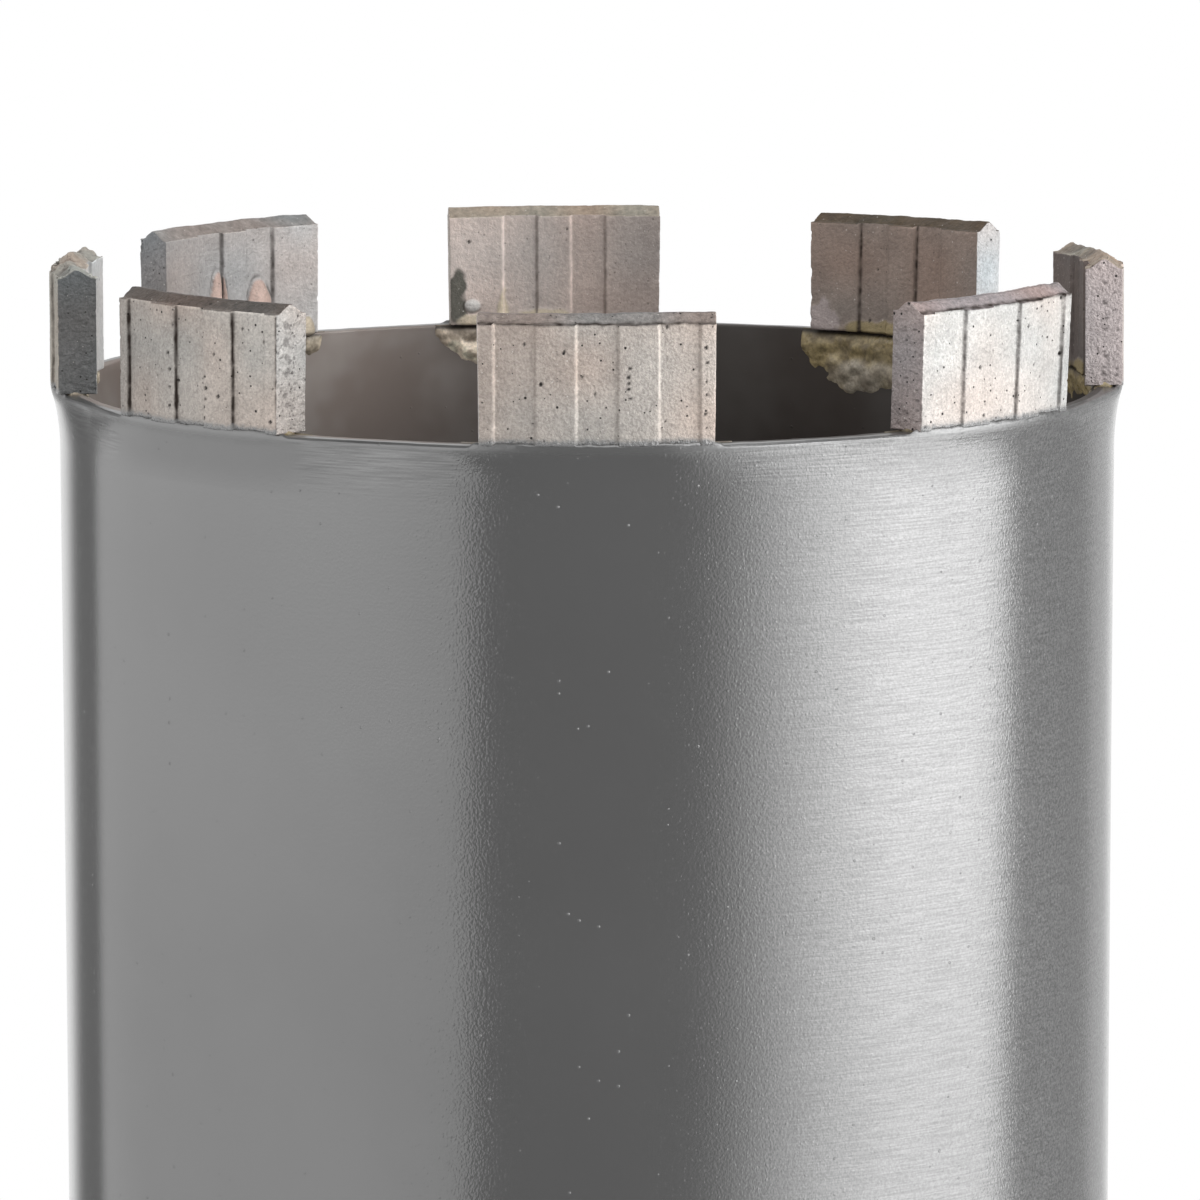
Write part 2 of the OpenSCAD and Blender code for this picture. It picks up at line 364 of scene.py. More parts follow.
def lattice_noise(points, spacing, seed):
    """Soft random field over points of shape (n, 3), from -1 to 1.

    Numbers are drawn for the corners of a cubic lattice, and blended across each cube
    with the curve 3 t^2 - 2 t^3 along every axis.
    """
    count = 24
    draws = np.random.RandomState(seed).rand(count, count, count)
    scaled = points / spacing
    cell = np.floor(scaled).astype(int)
    t = scaled - cell
    t = t * t * (3 - 2 * t)
    value = np.zeros(len(points))
    for corner in range(8):
        step = np.array([corner & 1, corner >> 1 & 1, corner >> 2 & 1])
        weight = np.prod(np.where(step == 1, t, 1 - t), axis=1)
        i, j, k = ((cell + step) % count).T
        value += weight * draws[i, j, k]
    return 2 * value - 1


def rough_field(points, spacing, seed, octaves=3):
    """Sum of lattice fields, each with half the spacing and half the weight of the one before."""
    total = np.zeros(len(points))
    for octave in range(octaves):
        total += lattice_noise(points, spacing / 2 ** octave, seed + octave) / 2 ** octave
    return total


def smooth_step(low, high, value):
    """0 below low, 1 above high, and 3 t^2 - 2 t^3 between them."""
    t = np.clip((value - low) / (high - low), 0, 1)
    return t * t * (3 - 2 * t)


def full_turn(steps):
    """Angles of equal steps round a whole turn, in radians."""
    return np.arange(steps) * 2 * math.pi / steps


def around_axis(radius, angle, height):
    """Points at a radius and an angle about the bit's axis, and at a height."""
    return np.stack(np.broadcast_arrays(
        radius * np.cos(angle), radius * np.sin(angle), height), axis=-1)


def mesh_from_grid(name, grid, wrap_rows=False, wrap_columns=True):
    """Mesh object from a grid of points, shape (rows, columns, 3), in millimetres.

    Each cell of the grid gives a quad. Points that coincide are merged, so a row that
    folds onto itself closes its end, and a closed surface is turned to face outwards.
    """
    rows, columns, _ = grid.shape
    row_count = rows if wrap_rows else rows - 1
    column_count = columns if wrap_columns else columns - 1
    r, c = np.meshgrid(np.arange(row_count), np.arange(column_count), indexing="ij")
    r2 = (r + 1) % rows
    c2 = (c + 1) % columns
    quads = np.stack([
        r * columns + c, r * columns + c2, r2 * columns + c2, r2 * columns + c], axis=-1)
    mesh = bpy.data.meshes.new(name)
    mesh.from_pydata((grid.reshape(-1, 3) * MM).tolist(), [], quads.reshape(-1, 4).tolist())
    work = bmesh.new()
    work.from_mesh(mesh)
    bmesh.ops.remove_doubles(work, verts=work.verts, dist=MERGE_DISTANCE)
    if work.calc_volume(signed=True) < 0:
        bmesh.ops.reverse_faces(work, faces=work.faces)
    work.to_mesh(mesh)
    work.free()
    mesh.shade_smooth()
    piece = bpy.data.objects.new(name, mesh)
    bpy.context.scene.collection.objects.link(piece)
    return piece


def read_vertices(mesh):
    """Positions in millimetres and unit normals of a mesh's vertices, as arrays of shape (n, 3)."""
    places = np.empty(len(mesh.vertices) * 3)
    normals = np.empty(len(mesh.vertices) * 3)
    mesh.vertices.foreach_get("co", places)
    mesh.vertices.foreach_get("normal", normals)
    return places.reshape(-1, 3) / MM, normals.reshape(-1, 3)


def write_vertices(mesh, places):
    """Puts positions in millimetres back into a mesh."""
    mesh.vertices.foreach_set("co", (places * MM).ravel())
    mesh.update()


def write_colours(mesh, name, colours):
    """Stores a colour for each vertex, shape (n, 3), as a named attribute."""
    rgba = np.ones((len(colours), 4))
    rgba[:, :3] = colours
    layer = mesh.attributes.new(name, "FLOAT_COLOR", "POINT")
    layer.data.foreach_set("color", rgba.ravel())


def write_mask(mesh, name, values):
    """Stores a number for each vertex as a named attribute."""
    layer = mesh.attributes.new(name, "FLOAT", "POINT")
    layer.data.foreach_set("value", np.asarray(values, dtype=float))


def surface_bend(mesh):
    """Bend of a mesh at each vertex: above 0 on an outer edge, below 0 in a corner.

    It is the mean over a vertex's neighbours of the cosine between the way to the
    neighbour and the normal, with the sign turned, averaged once more with theirs.
    """
    places, normals = read_vertices(mesh)
    pairs = np.empty(len(mesh.edges) * 2, dtype=np.int32)
    mesh.edges.foreach_get("vertices", pairs)
    pairs = pairs.reshape(-1, 2)
    first = np.concatenate([pairs[:, 0], pairs[:, 1]])
    second = np.concatenate([pairs[:, 1], pairs[:, 0]])
    way = places[second] - places[first]
    slope = np.sum(way * normals[first], axis=1) / np.maximum(np.linalg.norm(way, axis=1), 1e-9)
    count = np.bincount(first, minlength=len(places))
    bend = -np.bincount(first, slope, len(places)) / count
    return (bend + np.bincount(first, bend[second], len(places)) / count) / 2


def turn_matrix(x_deg, y_deg, z_deg):
    """Rotation about X, then Y, then Z, as a 3 by 3 array."""
    a, b, c = np.radians([x_deg, y_deg, z_deg])
    about_x = np.array([
        [1, 0, 0], [0, math.cos(a), -math.sin(a)], [0, math.sin(a), math.cos(a)]])
    about_y = np.array([
        [math.cos(b), 0, math.sin(b)], [0, 1, 0], [-math.sin(b), 0, math.cos(b)]])
    about_z = np.array([
        [math.cos(c), -math.sin(c), 0], [math.sin(c), math.cos(c), 0], [0, 0, 1]])
    return about_z @ about_y @ about_x


def flute_cover(arc, centres, width, slope):
    """How far into a flute a point is, from 0 on a rib to 1 on a flute's floor.

    Each flute is a trapezoid in the arc length, width at half depth and slope per side,
    whose corners are rounded by 3 t^2 - 2 t^3.
    """
    cover = np.zeros_like(arc)
    for centre in centres:
        edge = width / 2 - np.abs(arc - centre)
        cover = np.maximum(cover, smooth_step(-slope / 2, slope / 2, edge))
    return cover


def segment_outline(sizes):
    """Section of a segment as radius and height, anticlockwise, with the same heights on both sides."""
    ridge, eave = sizes.ridge_height, sizes.eave_height
    shoulder, drop, ridge_half = 0.5, 0.1, 0.2
    half = sizes.thickness / 2
    side_rows, foot_rows = 86, 9
    side_z = np.linspace(0, eave - drop, side_rows, endpoint=False)
    corners = np.array([
        [half, eave - drop], [half - shoulder, eave], [ridge_half, ridge], [0, ridge]])
    steps = (5, 14, 3)
    runs = [np.stack([np.full_like(side_z, half), side_z], axis=1)]
    for start, end, count in zip(corners[:-1], corners[1:], steps):
        t = np.linspace(0, 1, count, endpoint=False)[:, None]
        runs.append(start + (end - start) * t)
    rise = np.concatenate(runs)
    foot = np.stack([
        np.linspace(-half, half, foot_rows + 2)[1:-1], np.zeros(foot_rows)], axis=1)
    mirrored = rise[::-1] * [-1, 1]
    top = np.array([[0, ridge]])
    outline = np.concatenate([rise, top, mirrored, foot])
    return sizes.middle_radius + outline[:, 0], outline[:, 1]


def flute_edges(sizes):
    """Arcs of the edges of the outer flutes and of the inner ones, from the segment's middle."""
    outer = np.array([-1.25, -0.75, -0.25, 0.25, 0.75, 1.25]) * sizes.flute_pitch
    return outer, outer[1:5]


def ring_places(sizes):
    """Places of a segment's rings along its chord: 0.18 mm apart, and closer at each flute edge."""
    half, arris, outer, inner = sizes.half, sizes.arris, sizes.outer_radius, sizes.inner_radius
    outer_edges, inner_edges = flute_edges(sizes)
    centres = np.concatenate([
        outer * np.sin(outer_edges / outer), inner * np.sin(inner_edges / outer)])
    gap, closest, spread = 0.18, 0.035, np.linspace(-0.26, 0.26, 12)
    places = np.sort(np.concatenate([
        np.arange(arris - half + 0.1, half - arris - 0.05, gap),
        (centres[:, None] + spread).ravel()]))
    kept = np.concatenate([[True], np.diff(places) > closest])
    places = places[kept]
    return places[np.abs(places) < half - arris - 0.03] + half


def segment_grid(sizes, index):
    """Grid of a segment's surface: rings of the outline, set one after another along its length.

    The radius of a side point is held at the flute's floor where a flute passes. Towards
    each end a ring is drawn in along a quarter circle for the worn arris, and then shrinks
    onto the upright line in the middle of the end face.
    """
    outer, inner, middle = sizes.outer_radius, sizes.inner_radius, sizes.middle_radius
    half, ridge, arris = sizes.half, sizes.ridge_height, sizes.arris
    joint, wobble_size, wobble_depth = 0.15, 1.6, 0.05
    cap_rings, arris_rings = 14, 5
    radius, height = segment_outline(sizes)
    centre_z = np.clip(height, 2.0, ridge - 3.0)
    cap = np.linspace(0, 1, cap_rings, endpoint=False)
    bend = np.linspace(0, math.pi / 2, arris_rings)
    along = ring_places(sizes)
    from_end = np.concatenate([
        np.zeros_like(cap), arris * (1 - np.cos(bend)), along,
        2 * half - arris * (1 - np.cos(bend[::-1])), np.full_like(cap, 2 * half)])
    shrink_bend = arris * (1 - np.sin(bend)) / 2
    shrink_cap = 1 - cap * (1 - shrink_bend[0])
    shrink = np.concatenate([
        shrink_cap, shrink_bend, np.zeros_like(along), shrink_bend[::-1], shrink_cap[::-1]])
    s, r = np.meshgrid(shrink, radius, indexing="ij")
    r = r + (middle - r) * s
    z = height + (centre_z - height) * s
    y = from_end[:, None] - half
    foot_loss = sizes.draft / 2 * (1 - z / ridge)
    y = y - np.sign(y) * foot_loss * smooth_step(half - 1.3, half - 0.1, np.abs(y))
    arc = np.arcsin(y / r) * outer
    pitch, depth, slope = sizes.flute_pitch, sizes.flute_depth, sizes.flute_slope
    wobble = wobble_depth * lattice_noise(
        np.stack([arc, z, np.zeros_like(z)], axis=-1).reshape(-1, 3), wobble_size, 300 + index)
    arc = arc + wobble.reshape(arc.shape)
    outer_cover = flute_cover(arc, (-pitch, 0, pitch), pitch / 2, slope)
    inner_cover = flute_cover(arc, (-pitch / 2, pitch / 2), pitch / 2, slope)
    body = 1 - smooth_step(0.0, 0.5, s)
    r = np.where(r > middle, np.minimum(r, outer - depth * outer_cover * body), r)
    r = np.where(r < middle, np.maximum(r, inner + depth * inner_cover * body), r)
    x = np.sqrt(r * r - y * y)
    local = np.stack([x - middle, y, z], axis=-1)
    stance = turn_matrix(SEGMENT_TILT[index], SEGMENT_LEAN[index], 0)
    placed = local @ stance.T
    foot_drop = joint - (placed[..., 2] - z)
    placed[..., 2] += foot_drop * np.clip(1 - z / ridge, 0, 1)
    placed[..., 0] += middle
    return placed @ segment_turn(index).T + [0, 0, RIM_Z]


def segment_angle(index):
    """Angle of a segment's middle about the axis, in degrees."""
    return index * 360 / SEGMENT_COUNT + SEGMENT_TURN[index]


def segment_turn(index):
    """Rotation that takes a segment from +X to its place on the rim."""
    return turn_matrix(0, 0, segment_angle(index))


def segment_own_frame(places, normals, index):
    """Positions and normals in a segment's own frame, where it stands on +X with its foot at 0."""
    turn = segment_turn(index)
    return (places - [0, 0, RIM_Z]) @ turn, normals @ turn


def pit_depths(places, centres, radii):
    """Depth of a field of round pits: each falls off as (1 - d^2/r^2)^2 from its centre."""
    depth = np.zeros(len(places))
    for centre, radius in zip(centres, radii):
        near = np.sum((places - centre) ** 2, axis=1) / radius ** 2
        depth = np.maximum(depth, radius * np.clip(1 - near, 0, 1) ** 2)
    return depth


def rows_of(table, index):
    """The rest of each row of a table whose first value is the segment's index."""
    return [row[1:] for row in table if row[0] == index]


def bell(value, width):
    """Bell curve of a value: 1 at 0, and 1/e where the value is the width."""
    return np.exp(-(value / width) ** 2)


def blend(first, second, share):
    """Colours between two, by a share for each vertex."""
    return first + (second - first) * share[:, None]


def end_dimples(own, index, sizes):
    """Depth of the dimples that the press left in an end face, in uneven columns, and the darkness
    painted into them as shade.
    """
    depth = np.zeros(len(own))
    dimple_shade = np.zeros(len(own))
    uneven = 0.7 * rough_field(own, 0.5, 820 + index, 2)
    for hand, columns, pitch, half_width, half_height, deep, tone in rows_of(END_DIMPLES, index):
        rng = np.random.RandomState(800 + index + len(columns))
        at_hand = hand * own[:, 1] > sizes.half - 0.6
        for across in columns:
            for level in np.arange(1.0, 11.6, pitch):
                x = sizes.middle_radius + across + rng.uniform(-0.2, 0.2)
                z = level + rng.uniform(-0.35, 0.35)
                size = rng.uniform(0.45, 1.15)
                near = ((own[:, 0] - x) / half_width) ** 2 + ((own[:, 2] - z) / half_height) ** 2
                bowl = np.clip(1 - (near + uneven) / size ** 2, 0, 1) * at_hand
                depth = np.maximum(depth, deep * size * bowl)
                dimple_shade = np.maximum(dimple_shade, tone * np.minimum(1, 2 * bowl))
    return depth, dimple_shade


def pit_centres(places, sizes, index, rng):
    """Centres of a segment's pits: loose ones anywhere on it, and the columns in its outer face."""
    centres = [places[rng.choice(len(places), LOOSE_PITS[index], replace=False)]]
    reach = sizes.outer_radius
    for along, low, high, gap in rows_of(PIT_COLUMNS, index):
        level = np.arange(low, high, gap)
        angle = (along + rng.uniform(-0.15, 0.15, len(level))) / reach
        height = level + rng.uniform(-0.2, 0.2, len(level))
        column = around_axis(reach, angle, height)
        centres.append(column @ segment_turn(index).T + [0, 0, RIM_Z])
    return np.concatenate(centres)


def segment_view(mesh, sizes, index):
    """A segment's vertices: places, arc along the crown, height, and share on each side, from 0 to 1."""
    places, normals = read_vertices(mesh)
    own, own_normals = segment_own_frame(places, normals, index)
    outward = np.sum(own_normals[:, :2] * own[:, :2], axis=1) / np.hypot(own[:, 0], own[:, 1])
    roof = smooth_step(0.35, 0.7, own_normals[:, 2])
    near_end = smooth_step(sizes.half - 1.0, sizes.half - 0.6, np.abs(own[:, 1]))
    return SimpleNamespace(
        places=places, normals=normals, own=own, hand=own_normals[:, 1], outward=outward,
        along=own[:, 1], height=own[:, 2], radius=np.hypot(own[:, 0], own[:, 1]),
        arc=np.arctan2(own[:, 1], own[:, 0]) * sizes.outer_radius,
        lumps=rough_field(places, 1.9, 540 + index), roof=roof,
        end=smooth_step(0.6, 0.85, np.abs(own_normals[:, 1])) * near_end * (1 - roof),
        inside=smooth_step(0.5, 0.8, -outward) * (1 - roof),
        outside=smooth_step(0.5, 0.8, outward) * (1 - roof))


def segment_relief(at, sizes, index):
    """Rise of a segment's skin along its normals, with the depth of its pits and the painted shade of its
    dimples.

    Grain and slow waves lie all over it, lumps on the roof, crumbs along the eaves and
    chips along the ends.
    """
    rng = np.random.RandomState(40 + index)
    fine = 0.012 * rough_field(at.places, 0.4, 500 + index, 2)
    slow = 0.04 * lattice_noise(at.places, 3.5, 520 + index)
    roof_lumps = at.roof * ROOF_LUMPS[index] * (0.42 * at.lumps - 0.12)
    crumbs = np.maximum(rough_field(at.places, 0.45, 560 + index, 2), 0)
    crumble = 0.16 * bell(at.height - sizes.eave_height, 0.22) * crumbs
    broken = np.maximum(rough_field(at.places, 0.7, 580 + index, 2) - 0.35, 0)
    chips = 0.3 * smooth_step(sizes.half - 0.5, sizes.half, np.abs(at.along)) * broken
    centres = pit_centres(at.places, sizes, index, rng)
    pitted = pit_depths(at.places, centres, rng.uniform(0.16, 0.27, len(centres)))
    dimples, dimple_shade = end_dimples(at.own, index, sizes)
    rise = fine + slow + roof_lumps - crumble - chips - 0.8 * pitted - dimples * at.end
    return rise * smooth_step(0.2, 0.6, at.height), pitted, dimple_shade


def segment_tint(at, sizes, index):
    """Tint of each vertex: its face's, which is partly painted light, lighter towards one end as painted
    light, with clouds, warm patches and painted shade in the hollows of the roof.
    """
    # Each face's tint is partly the metal's colour and partly painted light for how light falls on that
    # face
    outer_tint, inner_tint, left_tint, right_tint, roof_tint = (
        np.array(TINTS[name]) for name in FACE_TINTS_WITH_PAINTED_LIGHT[index])
    tint = blend(inner_tint, outer_tint, smooth_step(-0.3, 0.3, at.outward))
    # Painted light: each side gets lighter or darker towards one end
    tint = tint * (1 + FACE_PAINTED_LIGHT[index] * at.arc / sizes.half)[:, None]
    tint = blend(tint, blend(left_tint, right_tint, smooth_step(-0.3, 0.3, at.hand)), at.end)
    # Painted shade in the hollows of the roof
    hollow_shade = 0.7 * smooth_step(0.1, -0.5, at.lumps) * min(1.0, 1.5 * ROOF_LUMPS[index])
    tint = blend(tint, blend(roof_tint, np.array(TINTS["umber"]), hollow_shade), at.roof)
    cloud = 0.1 * rough_field(at.places, 2.6, 600 + index)
    fine = 0.2 * rough_field(at.places, 0.45, 690 + index, 2) * at.roof
    warm = lattice_noise(at.places, 5.5, 640 + index) * (1 + 0.8 * at.roof)
    return tint * (1 + (cloud + fine)[:, None] + warm[:, None] * WARM_PATCH)


def lay_drops(at, index, rise, tint):
    """Lays the drops and washes on the inner face, with a ring of painted shade round the thick ones.

    Each is the dome of a sphere drawn over an ellipse whose edge is uneven, painted lighter on top and
    darker towards its edge, and its painted shade is a ring just outside that edge.
    """
    painted_shade = np.zeros(len(rise))
    broken = smooth_step(-0.7, 0.5, lattice_noise(at.places, 1.5, 670 + index))
    uneven = rough_field(at.places, 1.3, 660 + index, 2)
    for along, above, half_width, half_height, thickness, name in rows_of(INNER_DROPS, index):
        lump = min(1.0, thickness * 2)
        reach = ((at.arc - along) / half_width) ** 2 + ((at.height - above) / half_height) ** 2
        reach = reach + (0.12 + 0.5 * (1 - lump)) * uneven
        cover = (1 - smooth_step(0.5 + 0.35 * lump, 1.0, reach)) * at.inside
        dome = np.sqrt(np.clip(1 - reach, 0, 1)) * at.inside
        rise = rise + thickness * dome
        # Each drop is lighter on top of its dome and darker towards its edge, a painted highlight and
        # painted shade
        tint = blend(tint, np.array(TINTS[name]) * (0.75 + 0.5 * dome)[:, None], cover)
        # A ring of painted shade just outside the edge of each thick drop
        shade_ring = 0.75 * bell(reach - 1.15, 0.14) * at.inside * lump ** 2 * broken
        painted_shade = np.maximum(painted_shade * (1 - cover), shade_ring)
    return rise, tint, painted_shade


def segment_lines(at, sizes, index):
    """Lines on a segment's edges: dark residue with painted shade above 0, and lighter with wear and
    painted highlight below, each a bell of its distance.
    """
    outer_side = at.radius > sizes.middle_radius
    inner_side = at.radius < sizes.middle_radius
    width = np.where(outer_side, 0.14, 0.2) * (1 + 0.4 * lattice_noise(at.places, 1.1, 680 + index))
    outer_edges, inner_edges = flute_edges(sizes)
    shares = EDGE_LINES[index]
    flutes = np.zeros(len(at.arc))
    for edges, pair, side in (
            (outer_edges, shares[:2], outer_side), (inner_edges, shares[2:], inner_side)):
        for place, edge in enumerate(edges):
            into = (at.arc - edge) * (1 if place % 2 == 0 else -1)
            flutes += pair[place % 2] * side * bell(into - 0.02, width)
    wave = 0.1 * lattice_noise(at.places, 0.8, 695 + index)
    eaves = EAVE_LINES[index] * bell(at.height - sizes.eave_height + 0.06 - wave, 0.15)
    arris = ARRIS_LINES[index] * bell(sizes.half - np.abs(at.along) - 0.1, 0.12) * at.outside
    strokes = (flutes * (1 - at.roof) + eaves) * (1 - at.end) + arris * (1 - at.roof)
    return strokes * (0.95 + 0.45 * rough_field(at.places, 0.7, 620 + index, 2))


def finish_segment(mesh, sizes, index):
    """Gives a segment its pressed grain, pits and crumbled edges, and the tint of each face."""
    at = segment_view(mesh, sizes, index)
    rise, pitted, dimple_shade = segment_relief(at, sizes, index)
    rise, tint, painted_shade = lay_drops(at, index, rise, segment_tint(at, sizes, index))
    write_vertices(mesh, at.places + at.normals * rise[:, None])
    write_colours(mesh, "tint", np.clip(tint, 0, 1))
    strokes = segment_lines(at, sizes, index)
    # Outer edges and bright edge lines are lighter, partly with wear and partly as painted highlight;
    # dark lines and drop rings are residue and painted shade
    wear_and_highlight = smooth_step(0.08, 0.4, surface_bend(mesh))
    wear_and_highlight = wear_and_highlight * (1 - np.clip(1.3 * np.abs(strokes), 0, 1))
    outside = smooth_step(0.2, 0.6, at.outward)
    # These masks carry painted light: highlight on edges, and shade in corners, round drops, in pits and
    # in dimples
    masks = {
        "wear_and_highlight": np.maximum(wear_and_highlight, -strokes), "residue_and_shade": np.maximum(strokes, painted_shade),
        "pit_shade": np.maximum(pitted / 0.12, dimple_shade * at.end), "outside": outside,
        "open": np.maximum(outside, at.end)}
    for name, values in masks.items():
        write_mask(mesh, name, np.clip(values, 0, 1))


def rim_arcs(angle):
    """Arc distance, in millimetres at the barrel's outside, from each angle to each segment's middle."""
    centres = np.radians([segment_angle(index) for index in range(SEGMENT_COUNT)])
    apart = (angle[..., None] - centres + math.pi) % (2 * math.pi) - math.pi
    return apart * BARREL_RO


def shoulder_skin(places):
    """Height of the paint over the filler's outer shoulders, and its lift over the joint.

    Each shoulder is as long as its segment, with ends that fade out. It falls from the
    rim to nothing 9 mm below it as the cube of what is left, and the lift is ragged.
    """
    angle = np.arctan2(places[:, 1], places[:, 0])
    away = np.abs(rim_arcs(angle)).min(axis=1)
    ragged = 0.3 * lattice_noise(places, 1.6, 90)
    along = 1 - smooth_step(6.0, 22.0, away)
    left = np.clip(1 - (RIM_Z - places[:, 2]) / 9.0, 0, 1)
    foot = 1 - smooth_step(12.0, 12.9, away + ragged)
    lift = foot * (0.36 + 0.1 * rough_field(places, 0.9, 95, 2))
    return 1.06 * along * left ** 3, lift


def filler_drops(index, half):
    """Drops of a crust: place along the rim, depth, half width, half height, thickness and shade, which
    is partly painted light.
    """
    reach_middle, reach_end, thick, _ = INNER_FILLER[index]
    rng = np.random.RandomState(700 + index)
    ridge = 15
    runs = 12
    along = np.concatenate([
        np.linspace(-half, half, ridge) + rng.uniform(-0.4, 0.4, ridge),
        np.linspace(-half + 0.6, half + 0.4, runs) + rng.uniform(-0.7, 0.7, runs)])
    far = smooth_step(-2, half, along[ridge:])
    reach = (reach_middle + (reach_end - reach_middle) * far) * rng.uniform(0.55, 1.0, runs)
    depth = np.concatenate([np.full(ridge, 1.0), 0.3 + 0.5 * reach])
    wide = np.concatenate([rng.uniform(1.3, 1.9, ridge), rng.uniform(1.2, 2.2, runs)])
    tall = np.concatenate([rng.uniform(0.6, 0.9, ridge), 0.5 * reach + 0.2])
    deep = thick * np.concatenate([rng.uniform(0.5, 0.75, ridge), rng.uniform(0.5, 0.9, runs)])
    shade = np.concatenate([rng.uniform(0.85, 1.1, ridge), rng.uniform(0.9, 1.7, runs)])
    drops = np.stack([along, depth, wide, tall, deep, shade], axis=1)
    extra = rows_of(CRUST_DROPS, index)
    return np.concatenate([drops, np.array(extra)]) if extra else drops


def crust_height(along, depth, drops):
    """Height of the crust and its shade at places on the inside of the barrel.

    Each drop is a paraboloid, thickness times (1 - distance squared), and they merge
    as the logarithm of the sum of their exponentials.
    """
    sharp = 4.5
    total = np.zeros_like(along)
    shade = np.zeros_like(along)
    for place, level, wide, tall, deep, tone in drops:
        near = ((along - place) / wide) ** 2 + ((depth - level) / tall) ** 2
        weight = np.exp(sharp * np.maximum(deep * (1 - near), -1.0))
        total += weight
        shade += weight * tone
    return np.log(total) / sharp, shade / total


def filler_grid(sizes, index):
    """Grid of the filler under a segment: rings of its section, set one after another on the rim.

    The section is a thin joint on top of the wall and a crust of merged drops down its
    inside. At both ends it climbs a little up the segment's end, and then the section
    shrinks to a point inside the wall.
    """
    wall_in, half = BARREL_RI, sizes.half
    rings, lip_rows, beyond, run_out = 156, 12, 2.6, 0.4
    drops = filler_drops(index, half)
    along = np.linspace(-half - beyond, half + beyond, rings)
    deepest = [row[1] + row[3] + 0.4 for row in rows_of(CRUST_DROPS, index)]
    lowest = max([max(INNER_FILLER[index][:2]) + 1.2] + deepest)
    down = np.linspace(0.0, lowest, max(16, int(lowest / 0.18)))
    a, d = np.meshgrid(along, down, indexing="ij")
    height, _ = crust_height(a, d, drops)
    sample = np.stack([a, d, np.full_like(a, 3.0 * index)], axis=-1).reshape(-1, 3)
    fine = 0.15 * rough_field(sample, 1.0, 720 + index)
    crust = np.maximum(height + fine.reshape(a.shape), -0.15)
    under = smooth_step(0.0, 0.5, d)
    crust = crust * under - 0.1 * (1 - under)
    face_r = wall_in - crust
    face_z = 0.1 - d
    fade = 1 - smooth_step(half - 0.4, half + 0.6, np.abs(along))[:, None]
    lip_r = np.linspace(BARREL_RO + 0.1, sizes.inner_radius + 0.25, lip_rows)
    top_r = wall_in + 1.0 + (lip_r[None, :] - wall_in - 1.0) * fade
    top_z = np.full_like(top_r, 0.16) * fade - 0.3 * (1 - fade)
    climb = 0.75 * np.exp(-((np.abs(along) - half + 0.1) / 0.35) ** 2)[:, None]
    top_z = top_z + climb * np.sqrt(np.sin(np.linspace(0.1, math.pi - 0.1, lip_rows)))[None, :]
    ones = np.ones((len(along), 1))
    back_r = ones * np.array([[wall_in + 0.6, wall_in + 1.0, BARREL_RO - 0.5]])
    back_z = ones * np.array([[-lowest, -1.1, -0.7]])
    radius = np.concatenate([top_r, face_r, back_r], axis=1)
    rise = np.concatenate([top_z, face_z, back_z], axis=1)
    shrink = smooth_step(half + beyond - run_out, half + beyond, np.abs(along))[:, None]
    radius = radius + (wall_in + 1.0 - radius) * shrink
    rise = rise + (-0.6 - rise) * shrink
    angle = a[:, :1] / BARREL_RO + math.radians(segment_angle(index))
    return around_axis(radius, angle, rise + RIM_Z)


def finish_filler(mesh, sizes, index):
    """Tints the filler and its drops, and paints shade into its corners and the gap under the segment."""
    places, _ = read_vertices(mesh)
    own, _ = segment_own_frame(places, places, index)
    along = np.arctan2(own[:, 1], own[:, 0]) * BARREL_RO
    _, shade = crust_height(along, -own[:, 2], filler_drops(index, sizes.half))
    pale = PALE_FLUX[index]
    tint = np.array(TINTS[INNER_FILLER[index][3]])
    # A shade above 1 makes a drop lighter, partly its own paler tone and partly painted light
    colour = tint * (np.minimum(shade, 1.2) if pale else shade)[:, None]
    colour = blend(colour, np.array(TINTS["stone"]), pale * np.clip(shade - 1.2, 0, 1))
    clouds = 1 + 0.18 * rough_field(places, 1.2, 740 + index, 2)
    write_colours(mesh, "tint", np.clip(colour * clouds[:, None], 0, 0.8))
    # Painted shade in the corners and in the gap under the segment
    corners = smooth_step(0.05, 0.3, -surface_bend(mesh))
    write_mask(mesh, "residue_and_shade", np.maximum(corners, bell(own[:, 2] + 0.15, 0.3)))


def revolve_grid(profile, steps):
    """Grid of a profile of (radius, height) turned about the bit's axis in equal steps."""
    return around_axis(profile[:, :1], full_turn(steps), profile[:, 1:])


def barrel_grid():
    """Grid of the barrel: the section of its wall turned about the axis, with broken edges at the rim."""
    outer, inner, edge, burr, steps = BARREL_RO, BARREL_RI, 0.25, 0.1, 900
    corners = np.array([
        [inner, HUB_H], [outer, HUB_H], [outer, RIM_Z - 6], [outer, RIM_Z - edge],
        [outer - edge, RIM_Z], [inner + burr, RIM_Z], [inner, RIM_Z - burr],
        [inner, RIM_Z - 0.5], [inner, RIM_Z - 6]])
    return revolve_grid(densify(corners, (3, 30, 0.25, 0.1, 0.3, 0.1, 0.1, 0.5, 30)), steps)


